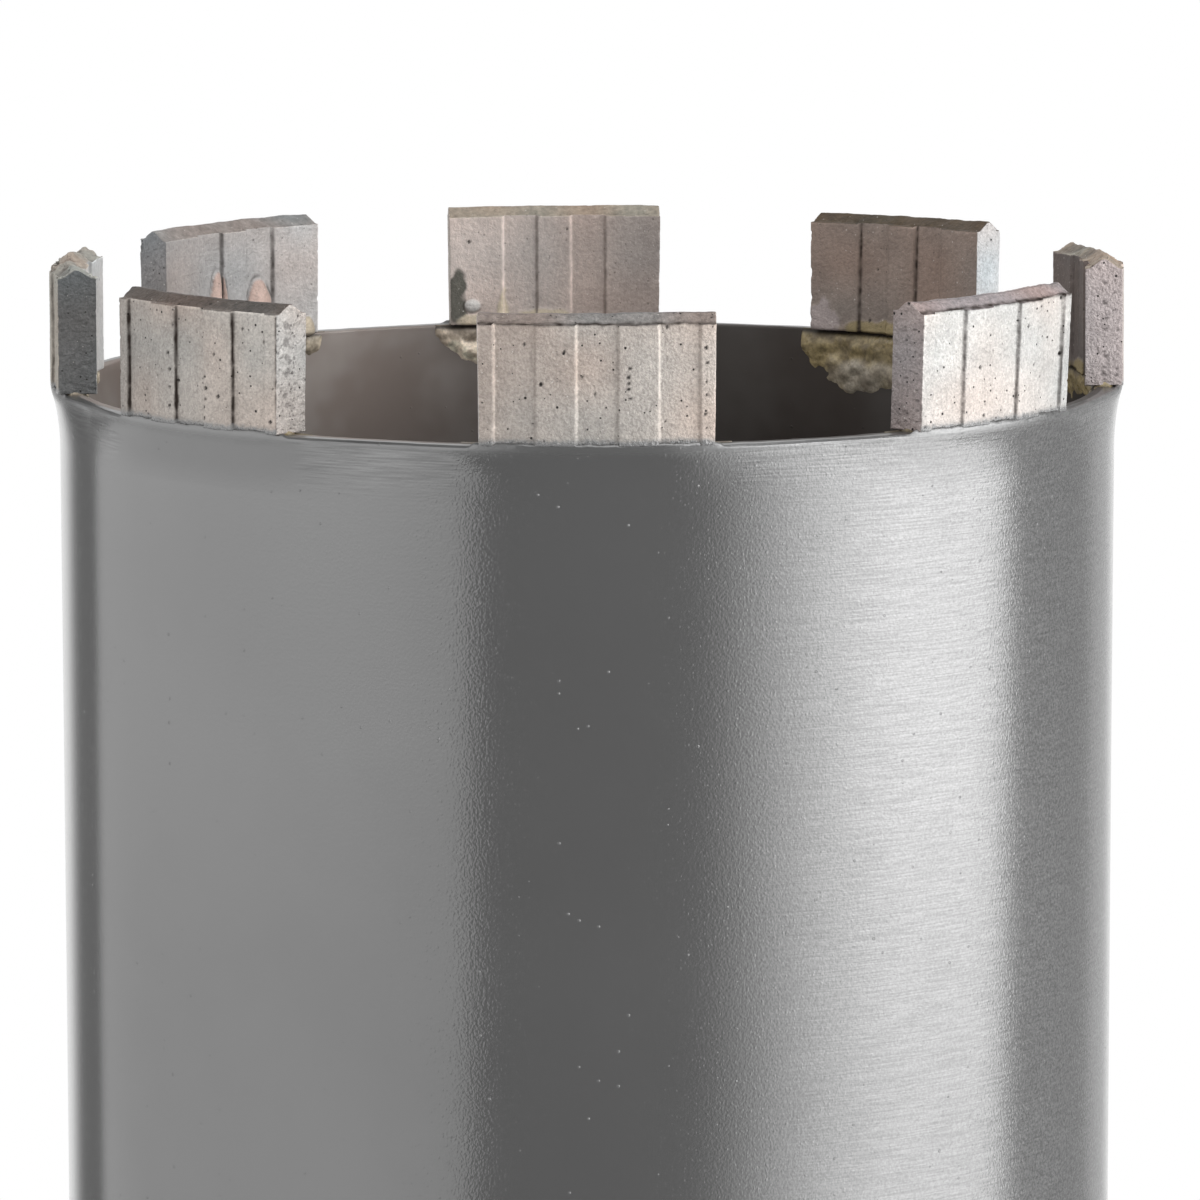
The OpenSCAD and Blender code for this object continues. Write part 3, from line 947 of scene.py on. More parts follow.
def finish_rim(mesh):
    """Dents the rim a little, lays the paint over the filler's shoulders and marks the spatter."""
    places, normals = read_vertices(mesh)
    radius = np.hypot(places[:, 0], places[:, 1])
    near_rim = smooth_step(RIM_Z - 1.2, RIM_Z, places[:, 2])
    places = places + normals * (0.025 * near_rim * rough_field(places, 1.4, 70))[:, None]
    outer_half = smooth_step(BARREL_RO - 1.2, BARREL_RO - 0.5, radius)
    skin, lift = shoulder_skin(places)
    places[:, :2] *= (1 + skin * outer_half / radius)[:, None]
    lip = smooth_step(BARREL_RO - 0.6, BARREL_RO - 0.2, radius)
    places[:, 2] += lift * lip * smooth_step(RIM_Z - 0.6, RIM_Z - 0.2, places[:, 2])
    away = np.abs(rim_arcs(np.arctan2(places[:, 1], places[:, 0]))).min(axis=1)
    low = 1 - smooth_step(1.5, 7.0, RIM_Z - places[:, 2])
    write_mask(mesh, "spatter", low * smooth_step(12.3, 15.0, away) * outer_half)
    write_vertices(mesh, places)


def weld_grid(centre_r, centre_z, bead_r, face_angle, pitch, seed):
    """Grid of a weld bead that runs round the bit: a tube about a ring, with rippled skin.

    The ripples are rounded scales with sharp valleys, the absolute sine of the way
    along the bead, and they bow across it. Face angle, in degrees, is where the bead shows.
    """
    steps, around = 720, 44
    s, t = np.meshgrid(full_turn(around), full_turn(steps), indexing="ij")
    across = (s - math.radians(face_angle) + math.pi) % (2 * math.pi) - math.pi
    ring = np.stack([6 * np.cos(t), 6 * np.sin(t), np.zeros_like(t)], axis=-1).reshape(-1, 3)
    drift = lattice_noise(ring, 1.1, seed).reshape(t.shape)
    scales = np.round(2 * math.pi * centre_r / pitch)
    phase = t / (2 * math.pi) * scales + 0.5 * across ** 2 + 0.8 * drift
    ripple = np.abs(np.sin(math.pi * phase))
    shown = np.clip(np.cos(across) + 0.3, 0, 1)
    radius = bead_r * (1 + 0.06 * drift) + 0.22 * (ripple - 0.6) * shown
    r = centre_r + radius * np.cos(s)
    return around_axis(r, t, centre_z + radius * np.sin(s))


def hub_grid(sizes):
    """Grid of the hub: its section turned about the axis, with a hexagon outside and a thread in it.

    The hexagon's radius is the half width over the cosine of the angle from the middle
    of a flat, cut by the cone that turns its corners off. The thread is a V whose place
    along the axis rises by the pitch in one turn.
    """
    flat, hex_h, flange = sizes.flats / 2, sizes.hexagon_height, sizes.flange_radius
    spigot, crest = sizes.spigot_radius, sizes.crest_radius
    plate_rise, chamfer, neck_step, steps = 8.0, 2.0, 3.4, 300
    top = HUB_H + plate_rise
    mouth = crest + chamfer
    corner = flat / math.cos(math.pi / 6)
    corner_h = (corner - flat) * math.tan(math.pi / 6)
    hexagon = np.concatenate([
        np.linspace(0, corner_h, 7)[1:], np.linspace(corner_h, hex_h, 24)[1:]])
    face = densify(np.array([[mouth, 0], [flat - 0.2, 0]]), (0.8, 99))[:-1]
    hex_rows = np.stack([np.full_like(hexagon, flat + 3), hexagon], axis=1)
    turned = densify(np.array([
        [flat + neck_step, hex_h], [flange - 1, hex_h], [flange, hex_h + 1], [flange, HUB_H],
        [spigot, HUB_H], [spigot, top], [mouth, top], [crest, top - chamfer]]),
        (0.8, 0.2, 0.5, 0.8, 2.0, 0.8, 0.25, 99))[:-1]
    thread_z = np.linspace(top - chamfer, chamfer, 176)
    thread = np.stack([np.full_like(thread_z, crest), thread_z], axis=1)
    lower = densify(np.array([[crest, chamfer], [mouth, 0]]), (0.25, 99))[1:-1]
    profile = np.concatenate([face, [[flat - 0.05, 0.0]], hex_rows, turned, thread, lower])
    r = np.repeat(profile[:, :1], steps, axis=1)
    z = np.repeat(profile[:, 1:], steps, axis=1)
    t = np.repeat(full_turn(steps)[None, :], len(profile), axis=0)
    hexed = flat / np.cos(t % (math.pi / 3) - math.pi / 6)
    cone = flat + z / math.tan(math.pi / 6)
    hexed = np.minimum(np.minimum(hexed, cone), corner - 0.25)
    first = len(face) + 1
    r[first:first + len(hex_rows)] = hexed[first:first + len(hex_rows)]
    place = (z / sizes.thread_pitch - t / (2 * math.pi)) % 1
    cut = np.clip((0.375 - np.abs(place - 0.5)) / 0.3125, 0, 1)
    start = first + len(hex_rows) + len(turned)
    rows = slice(start, start + len(thread))
    r[rows] = r[rows] + sizes.thread_depth * cut[rows]
    return around_axis(r, t, z)


def densify(corners, spacing):
    """Points along a closed polyline, no further apart than the spacing given for each side."""
    runs = []
    following = np.roll(corners, -1, axis=0)
    for start, end, gap in zip(corners, following, spacing):
        count = max(1, int(math.ceil(np.linalg.norm(end - start) / gap)))
        t = np.linspace(0, 1, count, endpoint=False)[:, None]
        runs.append(start + (end - start) * t)
    return np.concatenate(runs)


# Materials

class Wire:
    """Output of a shader node, which is added, multiplied and eased as a number is."""

    def __init__(self, node, name):
        self.node = node
        self.name = name

    def __add__(self, other):
        return work_out("ADD", self, other)

    def __sub__(self, other):
        return work_out("SUBTRACT", self, other)

    def __mul__(self, other):
        return work_out("MULTIPLY", self, other)

    def most(self, other, clamp=False):
        """The larger of two values."""
        return work_out("MAXIMUM", self, other, clamp=clamp)

    def ramp(self, low, high, start=0.0, end=1.0):
        """Value that eases from start to end while this one goes from low to high."""
        return Wire(add_node(
            self.node.id_data, "ShaderNodeMapRange", {"interpolation_type": "SMOOTHSTEP"},
            Value=self, From_Min=low, From_Max=high, To_Min=start, To_Max=end), "Result")


def plug(target, value):
    """Gives a socket a wire, a number or a colour."""
    if isinstance(value, Wire):
        target.id_data.links.new(value.node.outputs[value.name], target)
    elif target.type == "RGBA":
        target.default_value = (*value, 1.0)
    else:
        target.default_value = value


def feed(node, **inputs):
    """Gives a node's sockets wires and values, with _ for each space in a socket's name."""
    for key, value in inputs.items():
        plug(node.inputs[key.replace("_", " ")], value)


def add_node(tree, kind, settings=None, **inputs):
    """Adds a node. Settings are its own options, and inputs feed its sockets."""
    new = tree.nodes.new(kind)
    for key, value in (settings or {}).items():
        setattr(new, key, value)
    feed(new, **inputs)
    return new


def tree_of(*values):
    """Node tree of the first wire among some values."""
    return next(value.node.id_data for value in values if isinstance(value, Wire))


def work_out(operation, *values, clamp=False):
    """Adds a Math node on wires and numbers."""
    new = add_node(
        tree_of(*values), "ShaderNodeMath", {"operation": operation, "use_clamp": clamp})
    for target, value in zip(new.inputs, values):
        plug(target, value)
    return Wire(new, "Value")


def vector_math(operation, *values):
    """Adds a Vector Math node on wires."""
    new = add_node(tree_of(*values), "ShaderNodeVectorMath", {"operation": operation})
    for target, value in zip(new.inputs, values):
        plug(target, value)
    return new


def mix(factor, first, second, mode="MIX"):
    """Adds a colour Mix node on wires and colours."""
    new = add_node(
        tree_of(factor, first, second), "ShaderNodeMix", {"data_type": "RGBA", "blend_type": mode})
    for place, value in zip(MIX_INPUTS, (factor, first, second)):
        plug(new.inputs[place], value)
    return Wire(new, MIX_OUTPUT)


def shaded(colour, shade):
    """A colour times a shade."""
    return mix(1.0, colour, shade, "MULTIPLY")


def bump(height, strength, distance):
    """Normals of a height that is given as a wire, with the distance in millimetres."""
    return Wire(add_node(
        tree_of(height), "ShaderNodeBump", Height=height, Strength=strength,
        Distance=distance * MM), "Normal")


def attribute(tree, name, output="Fac"):
    """A mesh's attribute."""
    return Wire(add_node(tree, "ShaderNodeAttribute", {"attribute_name": name}), output)


def new_group(name, inputs, output):
    """Node group with a Vector called Place, numbers as (name, default), and one output."""
    tree = bpy.data.node_groups.new(name, "ShaderNodeTree")
    tree.interface.new_socket("Place", in_out="INPUT", socket_type="NodeSocketVector")
    for label, default in inputs:
        new = tree.interface.new_socket(label, in_out="INPUT", socket_type="NodeSocketFloat")
        new.default_value = default
    tree.interface.new_socket(output, in_out="OUTPUT", socket_type="NodeSocketFloat")
    source = tree.nodes.new("NodeGroupInput")
    sink = tree.nodes.new("NodeGroupOutput")
    wires = [Wire(source, label) for label in ("Place", *(label for label, _ in inputs))]
    return tree, sink.inputs[output], wires


def make_grain_group():
    """Fine grain: noise of a given size in millimetres, from 0 to 1 about a middle of 0.5."""
    tree, sink, (place, size, detail) = new_group(
        "Fine grain", (("Size", 0.4), ("Detail", 3.0)), "Grain")
    noise = add_node(
        tree, "ShaderNodeTexNoise", Vector=place, Scale=work_out("DIVIDE", 1.0, size),
        Detail=detail, Roughness=0.6)
    plug(sink, Wire(noise, "Fac"))
    return tree


def make_pit_group():
    """Small round pits: cells of a given size, of which a share holds a pit of a given radius."""
    tree, sink, (place, cell, radius, share) = new_group(
        "Small pits", (("Cell", 0.6), ("Radius", 0.12), ("Share", 0.2)), "Pit")
    cells = add_node(
        tree, "ShaderNodeTexVoronoi", {"feature": "F1"}, Vector=place,
        Scale=work_out("DIVIDE", 1.0, cell))
    draws = add_node(tree, "ShaderNodeSeparateColor", Color=Wire(cells, "Color"))
    reach = radius * (Wire(draws, "Green") * 0.6 + 0.6)
    inside = work_out("DIVIDE", Wire(cells, "Distance") * cell, reach).ramp(1.0, 0.55)
    plug(sink, inside * work_out("LESS_THAN", Wire(draws, "Red"), share))
    return tree


def make_line_group():
    """Fine lines: noise drawn out along the rim or along the axis, with a length and a width."""
    tree, sink, (place, length, width, upright) = new_group(
        "Fine lines", (("Length", 6.0), ("Width", 0.15), ("Upright", 0.0)), "Line")
    along = work_out("DIVIDE", 1.0, length)
    across = work_out("DIVIDE", 1.0, width)
    turned = (across - along) * upright
    flat = along + turned
    scale = add_node(tree, "ShaderNodeCombineXYZ", X=flat, Y=flat, Z=across - turned)
    drawn = vector_math("MULTIPLY", place, Wire(scale, "Vector"))
    noise = add_node(
        tree, "ShaderNodeTexNoise", Vector=Wire(drawn, "Vector"), Scale=1.0, Detail=2.0,
        Roughness=0.6)
    plug(sink, Wire(noise, "Fac"))
    return tree


def make_place_group():
    """Object coordinates in millimetres, the distance from the bit's axis, and the height."""
    tree = bpy.data.node_groups.new("Place on the bit", "ShaderNodeTree")
    for label, kind in (("Place", "Vector"), ("Radius", "Float"), ("Height", "Float")):
        tree.interface.new_socket(label, in_out="OUTPUT", socket_type="NodeSocket" + kind)
    sink = tree.nodes.new("NodeGroupOutput")
    scaled = vector_math("SCALE", Wire(add_node(tree, "ShaderNodeTexCoord"), "Object"))
    scaled.inputs["Scale"].default_value = 1 / MM
    place = Wire(scaled, "Vector")
    parts = add_node(tree, "ShaderNodeSeparateXYZ", Vector=place)
    flat = add_node(tree, "ShaderNodeCombineXYZ", X=Wire(parts, "X"), Y=Wire(parts, "Y"), Z=0.0)
    radius = Wire(vector_math("LENGTH", Wire(flat, "Vector")), "Value")
    feed(sink, Place=place, Radius=radius, Height=Wire(parts, "Z"))
    return tree


GROUP_MAKERS = {
    "Fine grain": make_grain_group,
    "Small pits": make_pit_group,
    "Fine lines": make_line_group,
    "Place on the bit": make_place_group,
}


def use_group(tree, name, **inputs):
    """Places a shared node group, made on its first use, and gives its outputs as wires."""
    group = bpy.data.node_groups.get(name) or GROUP_MAKERS[name]()
    new = add_node(tree, "ShaderNodeGroup", {"node_tree": group}, **inputs)
    return [Wire(new, output.name) for output in new.outputs]


def grain(place, size, detail=3.0):
    """Fine grain of a size in millimetres."""
    return use_group(tree_of(place), "Fine grain", Place=place, Size=size, Detail=detail)[0]


def pits(place, cell, radius, share):
    """Small pits, one in a share of the cells, with sizes in millimetres."""
    return use_group(
        tree_of(place), "Small pits", Place=place, Cell=cell, Radius=radius, Share=share)[0]


def lines(place, length, width, upright=0.0):
    """Fine lines with a length and a width in millimetres, round the rim or upright."""
    return use_group(
        tree_of(place), "Fine lines", Place=place, Length=length, Width=width, Upright=upright)[0]


def new_material(name):
    """Material with an empty tree, its output and a Principled shader."""
    material = bpy.data.materials.new(name)
    material.use_nodes = True
    tree = material.node_tree
    tree.nodes.clear()
    output = tree.nodes.new("ShaderNodeOutputMaterial")
    shader = tree.nodes.new("ShaderNodeBsdfPrincipled")
    plug(output.inputs["Surface"], Wire(shader, "BSDF"))
    return material, tree, shader


def make_paint_material(look):
    """Satin paint outside, with brush lines and fine grain, and bare heat-stained steel in the bore,
    darkened by painted shade towards the right and further down.

    The grain is soft, with a little grit in it, rougher spatter near the rim, dust that
    the paint caught, and brush lines on the side that was rubbed down last.
    """
    material, tree, shader = new_material("Satin barrel paint")
    place, radius, height = use_group(tree, "Place on the bit")
    x = Wire(add_node(tree, "ShaderNodeSeparateXYZ", Vector=place), "X")
    wall = radius.ramp(BARREL_RO - 1.2, BARREL_RO - 0.8)
    outside = wall.most(height.ramp(HUB_H + 5.0, HUB_H + 4.0))
    stain = grain(place, 14.0).ramp(0.3, 0.7, 0.0, 0.75)
    # Painted shade: the bore gets darker towards the right and further down, where its wall lies in shade
    painted_shade = x.ramp(-32.0, 6.0, 1.15, 0.29) * height.ramp(RIM_Z - 26.0, RIM_Z - 2.0, 0.6, 1.08)
    bore = shaded(mix(stain, look.bore_colour, look.stain_colour), painted_shade)
    brush = lines(place, 5.0, 0.17)
    coarse = grain(place, 0.3, 2.0)
    spatter = attribute(tree, "spatter")
    scored = (x.ramp(12.0, 30.0, 0.0, 0.62) * x.ramp(41.0, 50.0, 1.0, 0.7)).most(spatter)
    side = x.ramp(2.0, 24.0, 0.0, 0.9) + x.ramp(41.0, 48.0, 0.0, 1.8)
    mottled = coarse.ramp(0.25, 0.75, -0.12, 0.12) * side + 1.0
    tone = brush.ramp(0.28, 0.72, -0.17, 0.17) * scored + mottled
    paint = shaded(look.colour, grain(place, 30.0).ramp(0.3, 0.7, 0.97, 1.03))
    grit = pits(place, 0.4, 0.14, 0.3) * 0.4 + grain(place, look.peel_size / MM, 1.0)
    brushed = brush * x.ramp(2.0, 24.0, 0.12, 0.75) + grit
    calm = x.ramp(-22.0, -8.0, 0.2, 0.45) * outside.ramp(0.0, 1.0, 0.25, 1.0)
    dust = pits(place, 1.0, 0.15, 0.12) * 1.3
    relief = dust + (spatter * coarse * 0.7 + brushed) * calm
    feed(
        shader, Base_Color=mix(outside, bore, shaded(paint, tone)),
        Metallic=outside.ramp(0.0, 1.0, 0.5, 0.85),
        Roughness=outside.ramp(0.0, 1.0, 0.42, 0.11) + height.ramp(RIM_Z - 1.6, RIM_Z - 0.2, 0.0, 0.2),
        Normal=bump(relief, 1.0, 0.05))
    return material


def make_sinter_material(paint_colour):
    """Pressed and sintered metal: the face's tint, broken up by grain, light specks that are partly
    exposed grit and partly painted glints, pits painted dark as shade, and drag lines.

    Edges are lighter with wear and painted highlight, the flutes' corners hold dark residue and painted
    shade, and the barrel's paint ends in a ragged line at the foot.
    """
    material, tree, shader = new_material("Sintered segment")
    place, _, height = use_group(tree, "Place on the bit")
    wear_and_highlight, residue_and_shade, pit_shade, outside, bare = (
        attribute(tree, name) for name in ("wear_and_highlight", "residue_and_shade", "pit_shade", "outside", "open"))
    fine = grain(place, 0.26)
    coarse = grain(place, 0.5, 2.0)
    grainy = bare * 0.65 + 0.35
    shade = fine.ramp(0.25, 0.75, 0.82, 1.18)
    tint = mix(grainy, attribute(tree, "tint", "Color"), shade, "MULTIPLY")
    tint = shaded(tint, coarse.ramp(0.25, 0.75, 0.9, 1.1))
    tint = shaded(tint, lines(place, 3.0, 0.25, upright=1.0).ramp(0.3, 0.7, 0.97, 1.03))
    # Edges lighter with wear and painted highlight
    tint = mix(wear_and_highlight * 0.85, tint, shaded(tint, WEAR_AND_HIGHLIGHT_GAIN))
    # Light specks, partly exposed grit and partly painted glints
    tint = mix(pits(place, 0.5, 0.1, 0.2) * 0.5, tint, SPECK_AND_GLINT_COLOUR)
    # Dark residue in the flutes' corners and round drops, partly dirt and partly painted shade
    tint = mix(residue_and_shade, tint, RESIDUE_AND_SHADE_COLOUR)
    small = pits(place, 0.62, 0.14, 0.24) * grainy
    # Pits and dimples are painted near black, as the shade inside them
    tint = mix(small.most(pit_shade, clamp=True), tint, PIT_SHADE_COLOUR)
    low = (grain(place, 0.5) * -0.9 + height).ramp(RIM_Z + 0.6, RIM_Z - 0.1)
    painted = low * outside
    relief = (small * -1.2 + (coarse * 1.5 + fine)) * grainy
    feed(
        shader, Base_Color=mix(painted, tint, paint_colour), Metallic=painted * 0.4 + 0.2,
        Roughness=residue_and_shade * 0.35 + (painted * -0.3 + 0.55),
        Specular_IOR_Level=residue_and_shade * -0.45 + 0.5, Normal=bump(relief, 1.0, 0.14))
    return material


def make_filler_material():
    """Flowed filler and dull flux: its tint in clouds, with painted shade in the corners and in the gap
    under the segment, and a little shine.
    """
    material, tree, shader = new_material("Braze filler")
    place = use_group(tree, "Place on the bit")[0]
    fine = grain(place, 0.35)
    cloud = grain(place, 2.2)
    tint = shaded(attribute(tree, "tint", "Color"), fine.ramp(0.25, 0.75, 0.75, 1.25))
    tint = mix(cloud.ramp(0.45, 0.62, 0.0, 0.6), tint, FLUX_COLOUR)
    feed(
        # Painted shade in the corners and under the segment
        shader, Base_Color=mix(attribute(tree, "residue_and_shade"), tint, PAINTED_CORNER_SHADE),
        Roughness=cloud.ramp(0.35, 0.6, 0.25, 0.6), Normal=bump(fine, 0.7, 0.06))
    return material


def make_hub_material():
    """Turned steel: fine lines round the axis, a little duller in patches."""
    material, tree, shader = new_material("Turned hub steel")
    place = use_group(tree, "Place on the bit")[0]
    turned = lines(place, 12.0, 0.2)
    feed(
        shader, Base_Color=shaded(HUB_COLOUR, turned.ramp(0.3, 0.7, 0.85, 1.1)), Metallic=1.0,
        Roughness=grain(place, 12.0).ramp(0.3, 0.7, 0.3, 0.42), Normal=bump(turned, 0.6, 0.02))
    return material


# Pieces

def set_material(piece, material):
    """Gives a piece one material, in place of any that it has."""
    piece.data.materials.clear()
    piece.data.materials.append(material)


def dress(piece, material, node):
    """Gives a piece its material, hides the solid that it stands for, and parents the piece to the root
    body.
    """
    set_material(piece, material)
    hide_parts(node)
    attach(piece, "root")


class BIT_OT_barrel(bpy.types.Operator):
    """Turns the barrel with a fine rim and paints it."""

    bl_idname = "core_bit.barrel"
    bl_label = "Barrel"

    def execute(self, context):
        paint = make_paint_material(context.scene.core_bit_paint)
        barrel = mesh_from_grid("barrel_tube", barrel_grid(), wrap_rows=True)
        finish_rim(barrel.data)
        dress(barrel, paint, "barrel")
        set_material(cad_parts["back_plate"], paint)
        return {"FINISHED"}


class BIT_OT_filler(bpy.types.Operator):
    """Lays the filler and its flux crust under each segment."""

    bl_idname = "core_bit.filler"
    bl_label = "Filler"

    def execute(self, context):
        sizes = segment_sizes(context.scene.core_bit_segment)
        material = make_filler_material()
        for index in range(SEGMENT_COUNT):
            node = "braze_%d" % (index + 1)
            piece = mesh_from_grid("crusted_" + node, filler_grid(sizes, index))
            finish_filler(piece.data, sizes, index)
            dress(piece, material, node)
        return {"FINISHED"}


class BIT_OT_segments(bpy.types.Operator):
    """Presses the eight fluted segments with their pits, crumbled edges and face tints."""

    bl_idname = "core_bit.segments"
    bl_label = "Segments"

    def execute(self, context):
        sizes = segment_sizes(context.scene.core_bit_segment)
        sinter = make_sinter_material(context.scene.core_bit_paint.colour)
        for index in range(SEGMENT_COUNT):
            node = "segment_%d" % (index + 1)
            piece = mesh_from_grid("fluted_" + node, segment_grid(sizes, index))
            finish_segment(piece.data, sizes, index)
            dress(piece, sinter, node)
        return {"FINISHED"}


class BIT_OT_welds(bpy.types.Operator):
    """Lays the rippled beads of weld round the back plate and the hub."""

    bl_idname = "core_bit.welds"
    bl_label = "Welds"

    def execute(self, context):
        paint = bpy.data.materials["Satin barrel paint"]
        flange = context.scene.core_bit_hub.flange_radius / MM
        # Solid, and the bead's radius about the axis, height, own radius, side, pitch and seed
        beads = (
            ("plate_weld", BARREL_RI - 1.0, HUB_H + 1.0, 2.4, -90, 1.7, 120),
            ("hub_weld", flange - 1.8, HUB_H + 1.8, 5.6, -52, 1.9, 130))
        for node, *shape in beads:
            bead = mesh_from_grid("bead_" + node, weld_grid(*shape), wrap_rows=True)
            dress(bead, paint, node)
        return {"FINISHED"}


class BIT_OT_hub(bpy.types.Operator):
    """Turns the hub with its hexagon and cuts its female thread."""

    bl_idname = "core_bit.hub"
    bl_label = "Hub"

    def execute(self, context):
        grid = hub_grid(in_millimetres(context.scene.core_bit_hub))
        hub = mesh_from_grid("threaded_hub", grid, wrap_rows=True)
        hub.data.set_sharp_from_angle(angle=math.radians(28))
        dress(hub, make_hub_material(), "hub")
        return {"FINISHED"}


# Stage

def azimuth_of(place):
    """Azimuth of a place in degrees, from the camera's side and positive to the right."""
    parts = add_node(tree_of(place), "ShaderNodeSeparateXYZ", Vector=place)
    angle = work_out("ARCTAN2", Wire(parts, "X"), Wire(parts, "Y") * -1.0)
    return angle * math.degrees(1)


def backdrop_level(azimuth):
    """Level that glossy rays meet: white straight behind the bit, and dim on its other sides."""
    white = azimuth.ramp(-145, -160, 0.24, 1.0).most(azimuth.ramp(156, 173, 0.24, 1.0))
    side = azimuth.ramp(92, 106, 0.0, 0.37) + azimuth.ramp(100, 136, 0.0, -0.14)
    return work_out("MINIMUM", white + (azimuth.ramp(140, 143, 0.0, 0.22) + side), 1.0)


def floor_glow(azimuth, reach):
    """Level that glossy rays meet on the floor between the bit and the softboxes, by azimuth."""
    left = azimuth.ramp(-20, -36, 0.0, 0.62) * azimuth.ramp(-122, -140, 1.0, 0.0)
    right = azimuth.ramp(12, 55, 0.0, 1.5) * azimuth.ramp(92, 106, 1.0, 0.0)
    return left.most(right) * reach.ramp(0.55, 0.75, 1.0, 0.0)


def make_floor_material():
    """Pale floor that keeps the shadow near the bit, and goes to plain white further out."""
    material, tree, shader = new_material("Pale floor")
    feed(shader, Base_Color=(0.86, 0.86, 0.86), Roughness=0.7)
    place = Wire(add_node(tree, "ShaderNodeTexCoord"), "Object")
    reach = Wire(vector_math("LENGTH", place), "Value")
    path = add_node(tree, "ShaderNodeLightPath")
    camera = Wire(path, "Is Camera Ray")
    mirrored = Wire(path, "Is Glossy Ray").most(Wire(path, "Is Transmission Ray"))
    azimuth = azimuth_of(place)
    lit = backdrop_level(azimuth).most(floor_glow(azimuth, reach))
    white = add_node(tree, "ShaderNodeEmission", Strength=lit.most(camera))
    share = (reach.ramp(0.2, 0.58) * camera).most(mirrored)
    both = add_node(tree, "ShaderNodeMixShader", Fac=share)
    plug(both.inputs[1], Wire(shader, "BSDF"))
    plug(both.inputs[2], Wire(white, "Emission"))
    output = next(node for node in tree.nodes if node.type == "OUTPUT_MATERIAL")
    feed(output, Surface=Wire(both, "Shader"))
    return material


def make_world():
    """Plain white where it is seen, white behind the bit in reflections, and an even fill light."""
    world = bpy.data.worlds.new("Studio")
    world.use_nodes = True
    tree = world.node_tree
    tree.nodes.clear()
    path = add_node(tree, "ShaderNodeLightPath")
    backdrop = backdrop_level(azimuth_of(Wire(add_node(tree, "ShaderNodeTexCoord"), "Generated")))
    lit = backdrop.most(Wire(path, "Is Diffuse Ray") * 0.85) * 0.8
    light = add_node(
        tree, "ShaderNodeBackground", Color=(1.0, 1.0, 1.0),
        Strength=lit.most(Wire(path, "Is Camera Ray")))
    add_node(tree, "ShaderNodeOutputWorld", Surface=Wire(light, "Background"))
    bpy.context.scene.world = world


def stand(thing, across, upward, back, place):
    """Adds a lamp or camera to the scene, with its own axes along three directions, at a place."""
    turn = Matrix.Identity(4)
    for column, axis in enumerate((across, upward, back, place)):
        for row in range(3):
            turn[row][column] = axis[row]
    thing.matrix_world = turn
    bpy.context.scene.collection.objects.link(thing)


def add_lamp(name, azimuth, distance, width, height, level, middle, rise, fades):
    """Adds a softbox that faces the axis at the height called middle.

    Azimuth is from the camera, positive to the right, and rise is its angle above
    that height, both in degrees. Level is its radiance. Each fade eases its light
    along its width X or its height Y between two places, from 0 to 1, and two shares.
    """
    data = bpy.data.lights.new(name, "AREA")
    data.shape = "RECTANGLE"
    data.size = width
    data.size_y = height
    data.energy = level * width * height * math.pi
    if fades:
        data.use_nodes = True
        tree = data.node_tree
        tree.nodes.clear()
        face = add_node(tree, "ShaderNodeNewGeometry")
        parts = add_node(tree, "ShaderNodeSeparateXYZ", Vector=Wire(face, "Parametric"))
        shares = [Wire(parts, axis).ramp(*ease) for axis, *ease in fades]
        glow = add_node(
            tree, "ShaderNodeEmission", Strength=functools.reduce(operator.mul, shares))
        add_node(tree, "ShaderNodeOutputLight", Surface=Wire(glow, "Emission"))
    lamp = bpy.data.objects.new(name, data)
    lamp.visible_camera = False
    a, e = math.radians(azimuth), math.radians(rise)
    outward = np.array([math.sin(a) * math.cos(e), -math.cos(a) * math.cos(e), math.sin(e)])
    side = np.array([math.cos(a), math.sin(a), 0.0])
    stand(lamp, side, np.cross(outward, side), outward, outward * distance + [0.0, 0.0, middle])


def add_camera(sizes):
    """Adds the camera in front of the axis and above the rim, turned by its pitch, yaw and roll."""
    pitch, yaw, roll = sizes.pitch, sizes.yaw, sizes.roll
    ahead = np.array([
        math.sin(yaw) * math.cos(pitch), math.cos(yaw) * math.cos(pitch), -math.sin(pitch)])
    level = np.array([math.cos(yaw), -math.sin(yaw), 0.0])
    above = np.cross(level, ahead)
    data = bpy.data.cameras.new("Camera")
    data.lens = sizes.lens
    data.sensor_width = 36.0
    data.clip_end = 100.0
    camera = bpy.data.objects.new("Camera", data)
    stand(
        camera, math.cos(roll) * level + math.sin(roll) * above,
        math.cos(roll) * above - math.sin(roll) * level, -ahead,
        (0.0, -sizes.distance, RIM_Z * MM + sizes.height))
    bpy.context.scene.camera = camera


def floor_grid(radius, steps=96):
    """Grid of a round floor: a middle point and two rings about it."""
    rings = np.array([0.0, 0.5, 1.0])[:, None] * radius
    return around_axis(rings, full_turn(steps), 0.0)


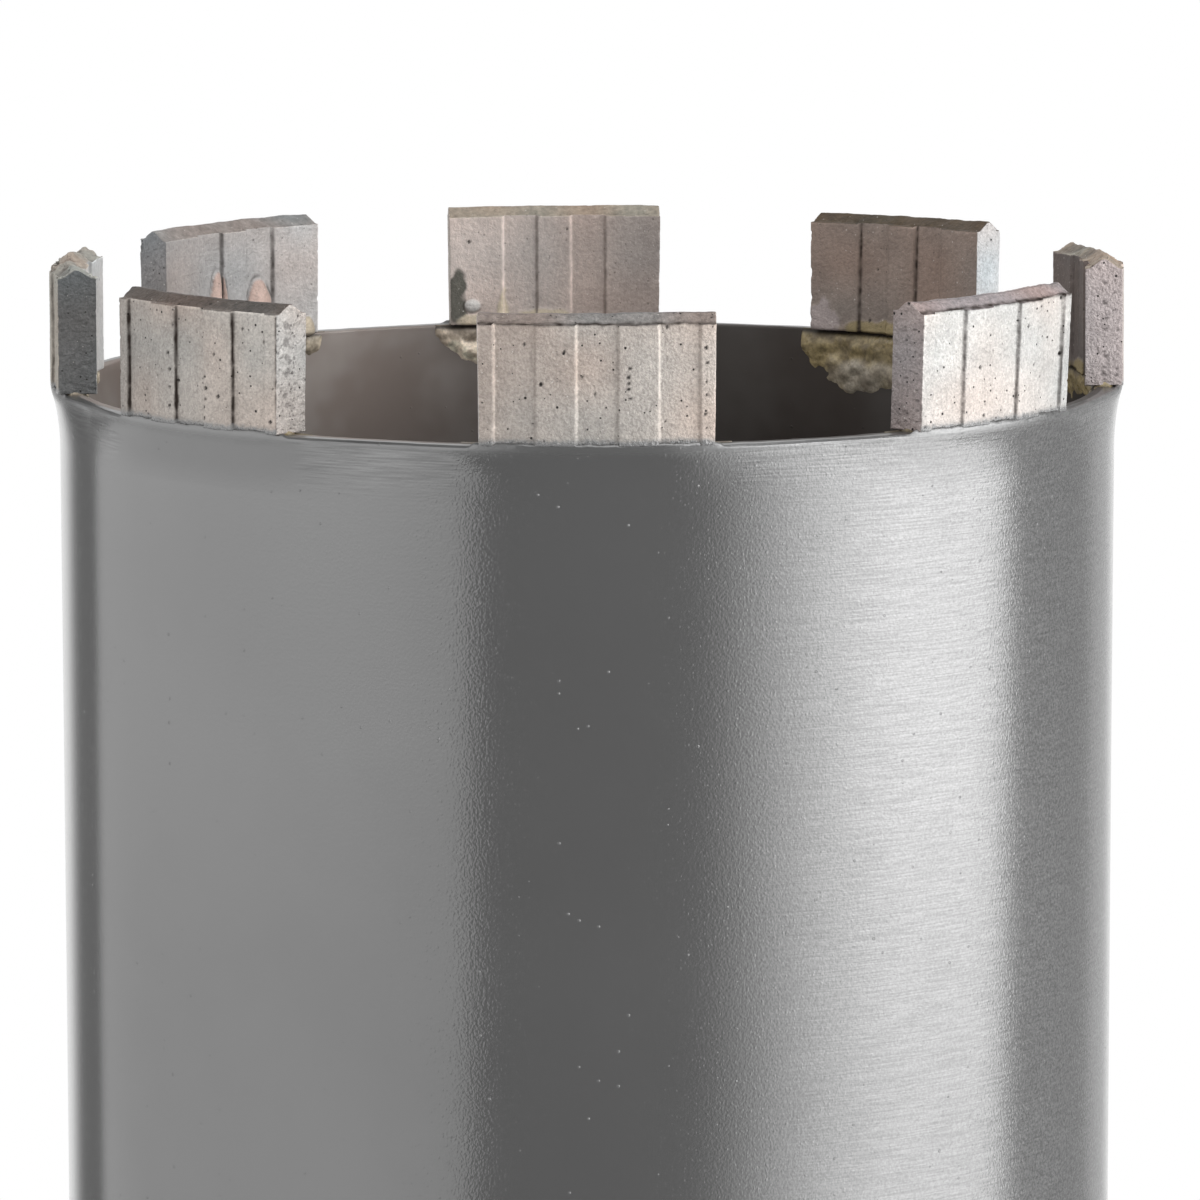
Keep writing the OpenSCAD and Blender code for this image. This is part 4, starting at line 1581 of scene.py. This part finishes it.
class BIT_OT_stage(bpy.types.Operator):
    """Sets the camera, the softboxes, the world and the floor."""

    bl_idname = "core_bit.stage"
    bl_label = "Stage"

    def execute(self, context):
        sizes = context.scene.core_bit_stage
        context.scene.view_settings.view_transform = "Standard"
        add_camera(sizes)
        make_world()
        for softbox in SOFTBOXES:
            add_lamp(*softbox)
        floor = mesh_from_grid("floor", floor_grid(sizes.floor_radius / MM))
        set_material(floor, make_floor_material())
        return {"FINISHED"}


class BIT_PT_panel(bpy.types.Panel):
    """Lists the pieces of the bit in the sidebar."""

    bl_idname = "BIT_PT_panel"
    bl_label = "Diamond Core Bit"
    bl_space_type = "VIEW_3D"
    bl_region_type = "UI"
    bl_category = "Core Bit"

    def draw(self, context):
        layout = self.layout
        for item in OPERATORS:
            layout.operator(item.bl_idname)
        for group in (
                context.scene.core_bit_segment, context.scene.core_bit_hub,
                context.scene.core_bit_paint, context.scene.core_bit_stage):
            box = layout.box()
            for name in group.__annotations__:
                box.prop(group, name)


GROUPS = (SegmentSizes, HubSizes, PaintLook, StageSizes)
OPERATORS = (
    BIT_OT_stage, BIT_OT_barrel, BIT_OT_filler, BIT_OT_segments, BIT_OT_welds, BIT_OT_hub)


def register():
    """Registers the classes, and the sizes and looks that the operators read."""
    for item in (*GROUPS, *OPERATORS, BIT_PT_panel):
        bpy.utils.register_class(item)
    bpy.types.Scene.core_bit_segment = PointerProperty(type=SegmentSizes)
    bpy.types.Scene.core_bit_hub = PointerProperty(type=HubSizes)
    bpy.types.Scene.core_bit_paint = PointerProperty(type=PaintLook)
    bpy.types.Scene.core_bit_stage = PointerProperty(type=StageSizes)


def unregister():
    """Takes back what register has done."""
    del bpy.types.Scene.core_bit_stage
    del bpy.types.Scene.core_bit_paint
    del bpy.types.Scene.core_bit_hub
    del bpy.types.Scene.core_bit_segment
    for item in reversed((*GROUPS, *OPERATORS, BIT_PT_panel)):
        bpy.utils.unregister_class(item)


def main():
    """Builds every piece in order."""
    register()
    bpy.ops.core_bit.stage()
    bpy.ops.core_bit.barrel()
    bpy.ops.core_bit.filler()
    bpy.ops.core_bit.segments()
    bpy.ops.core_bit.welds()
    bpy.ops.core_bit.hub()


if __name__ == "__main__":
    main()
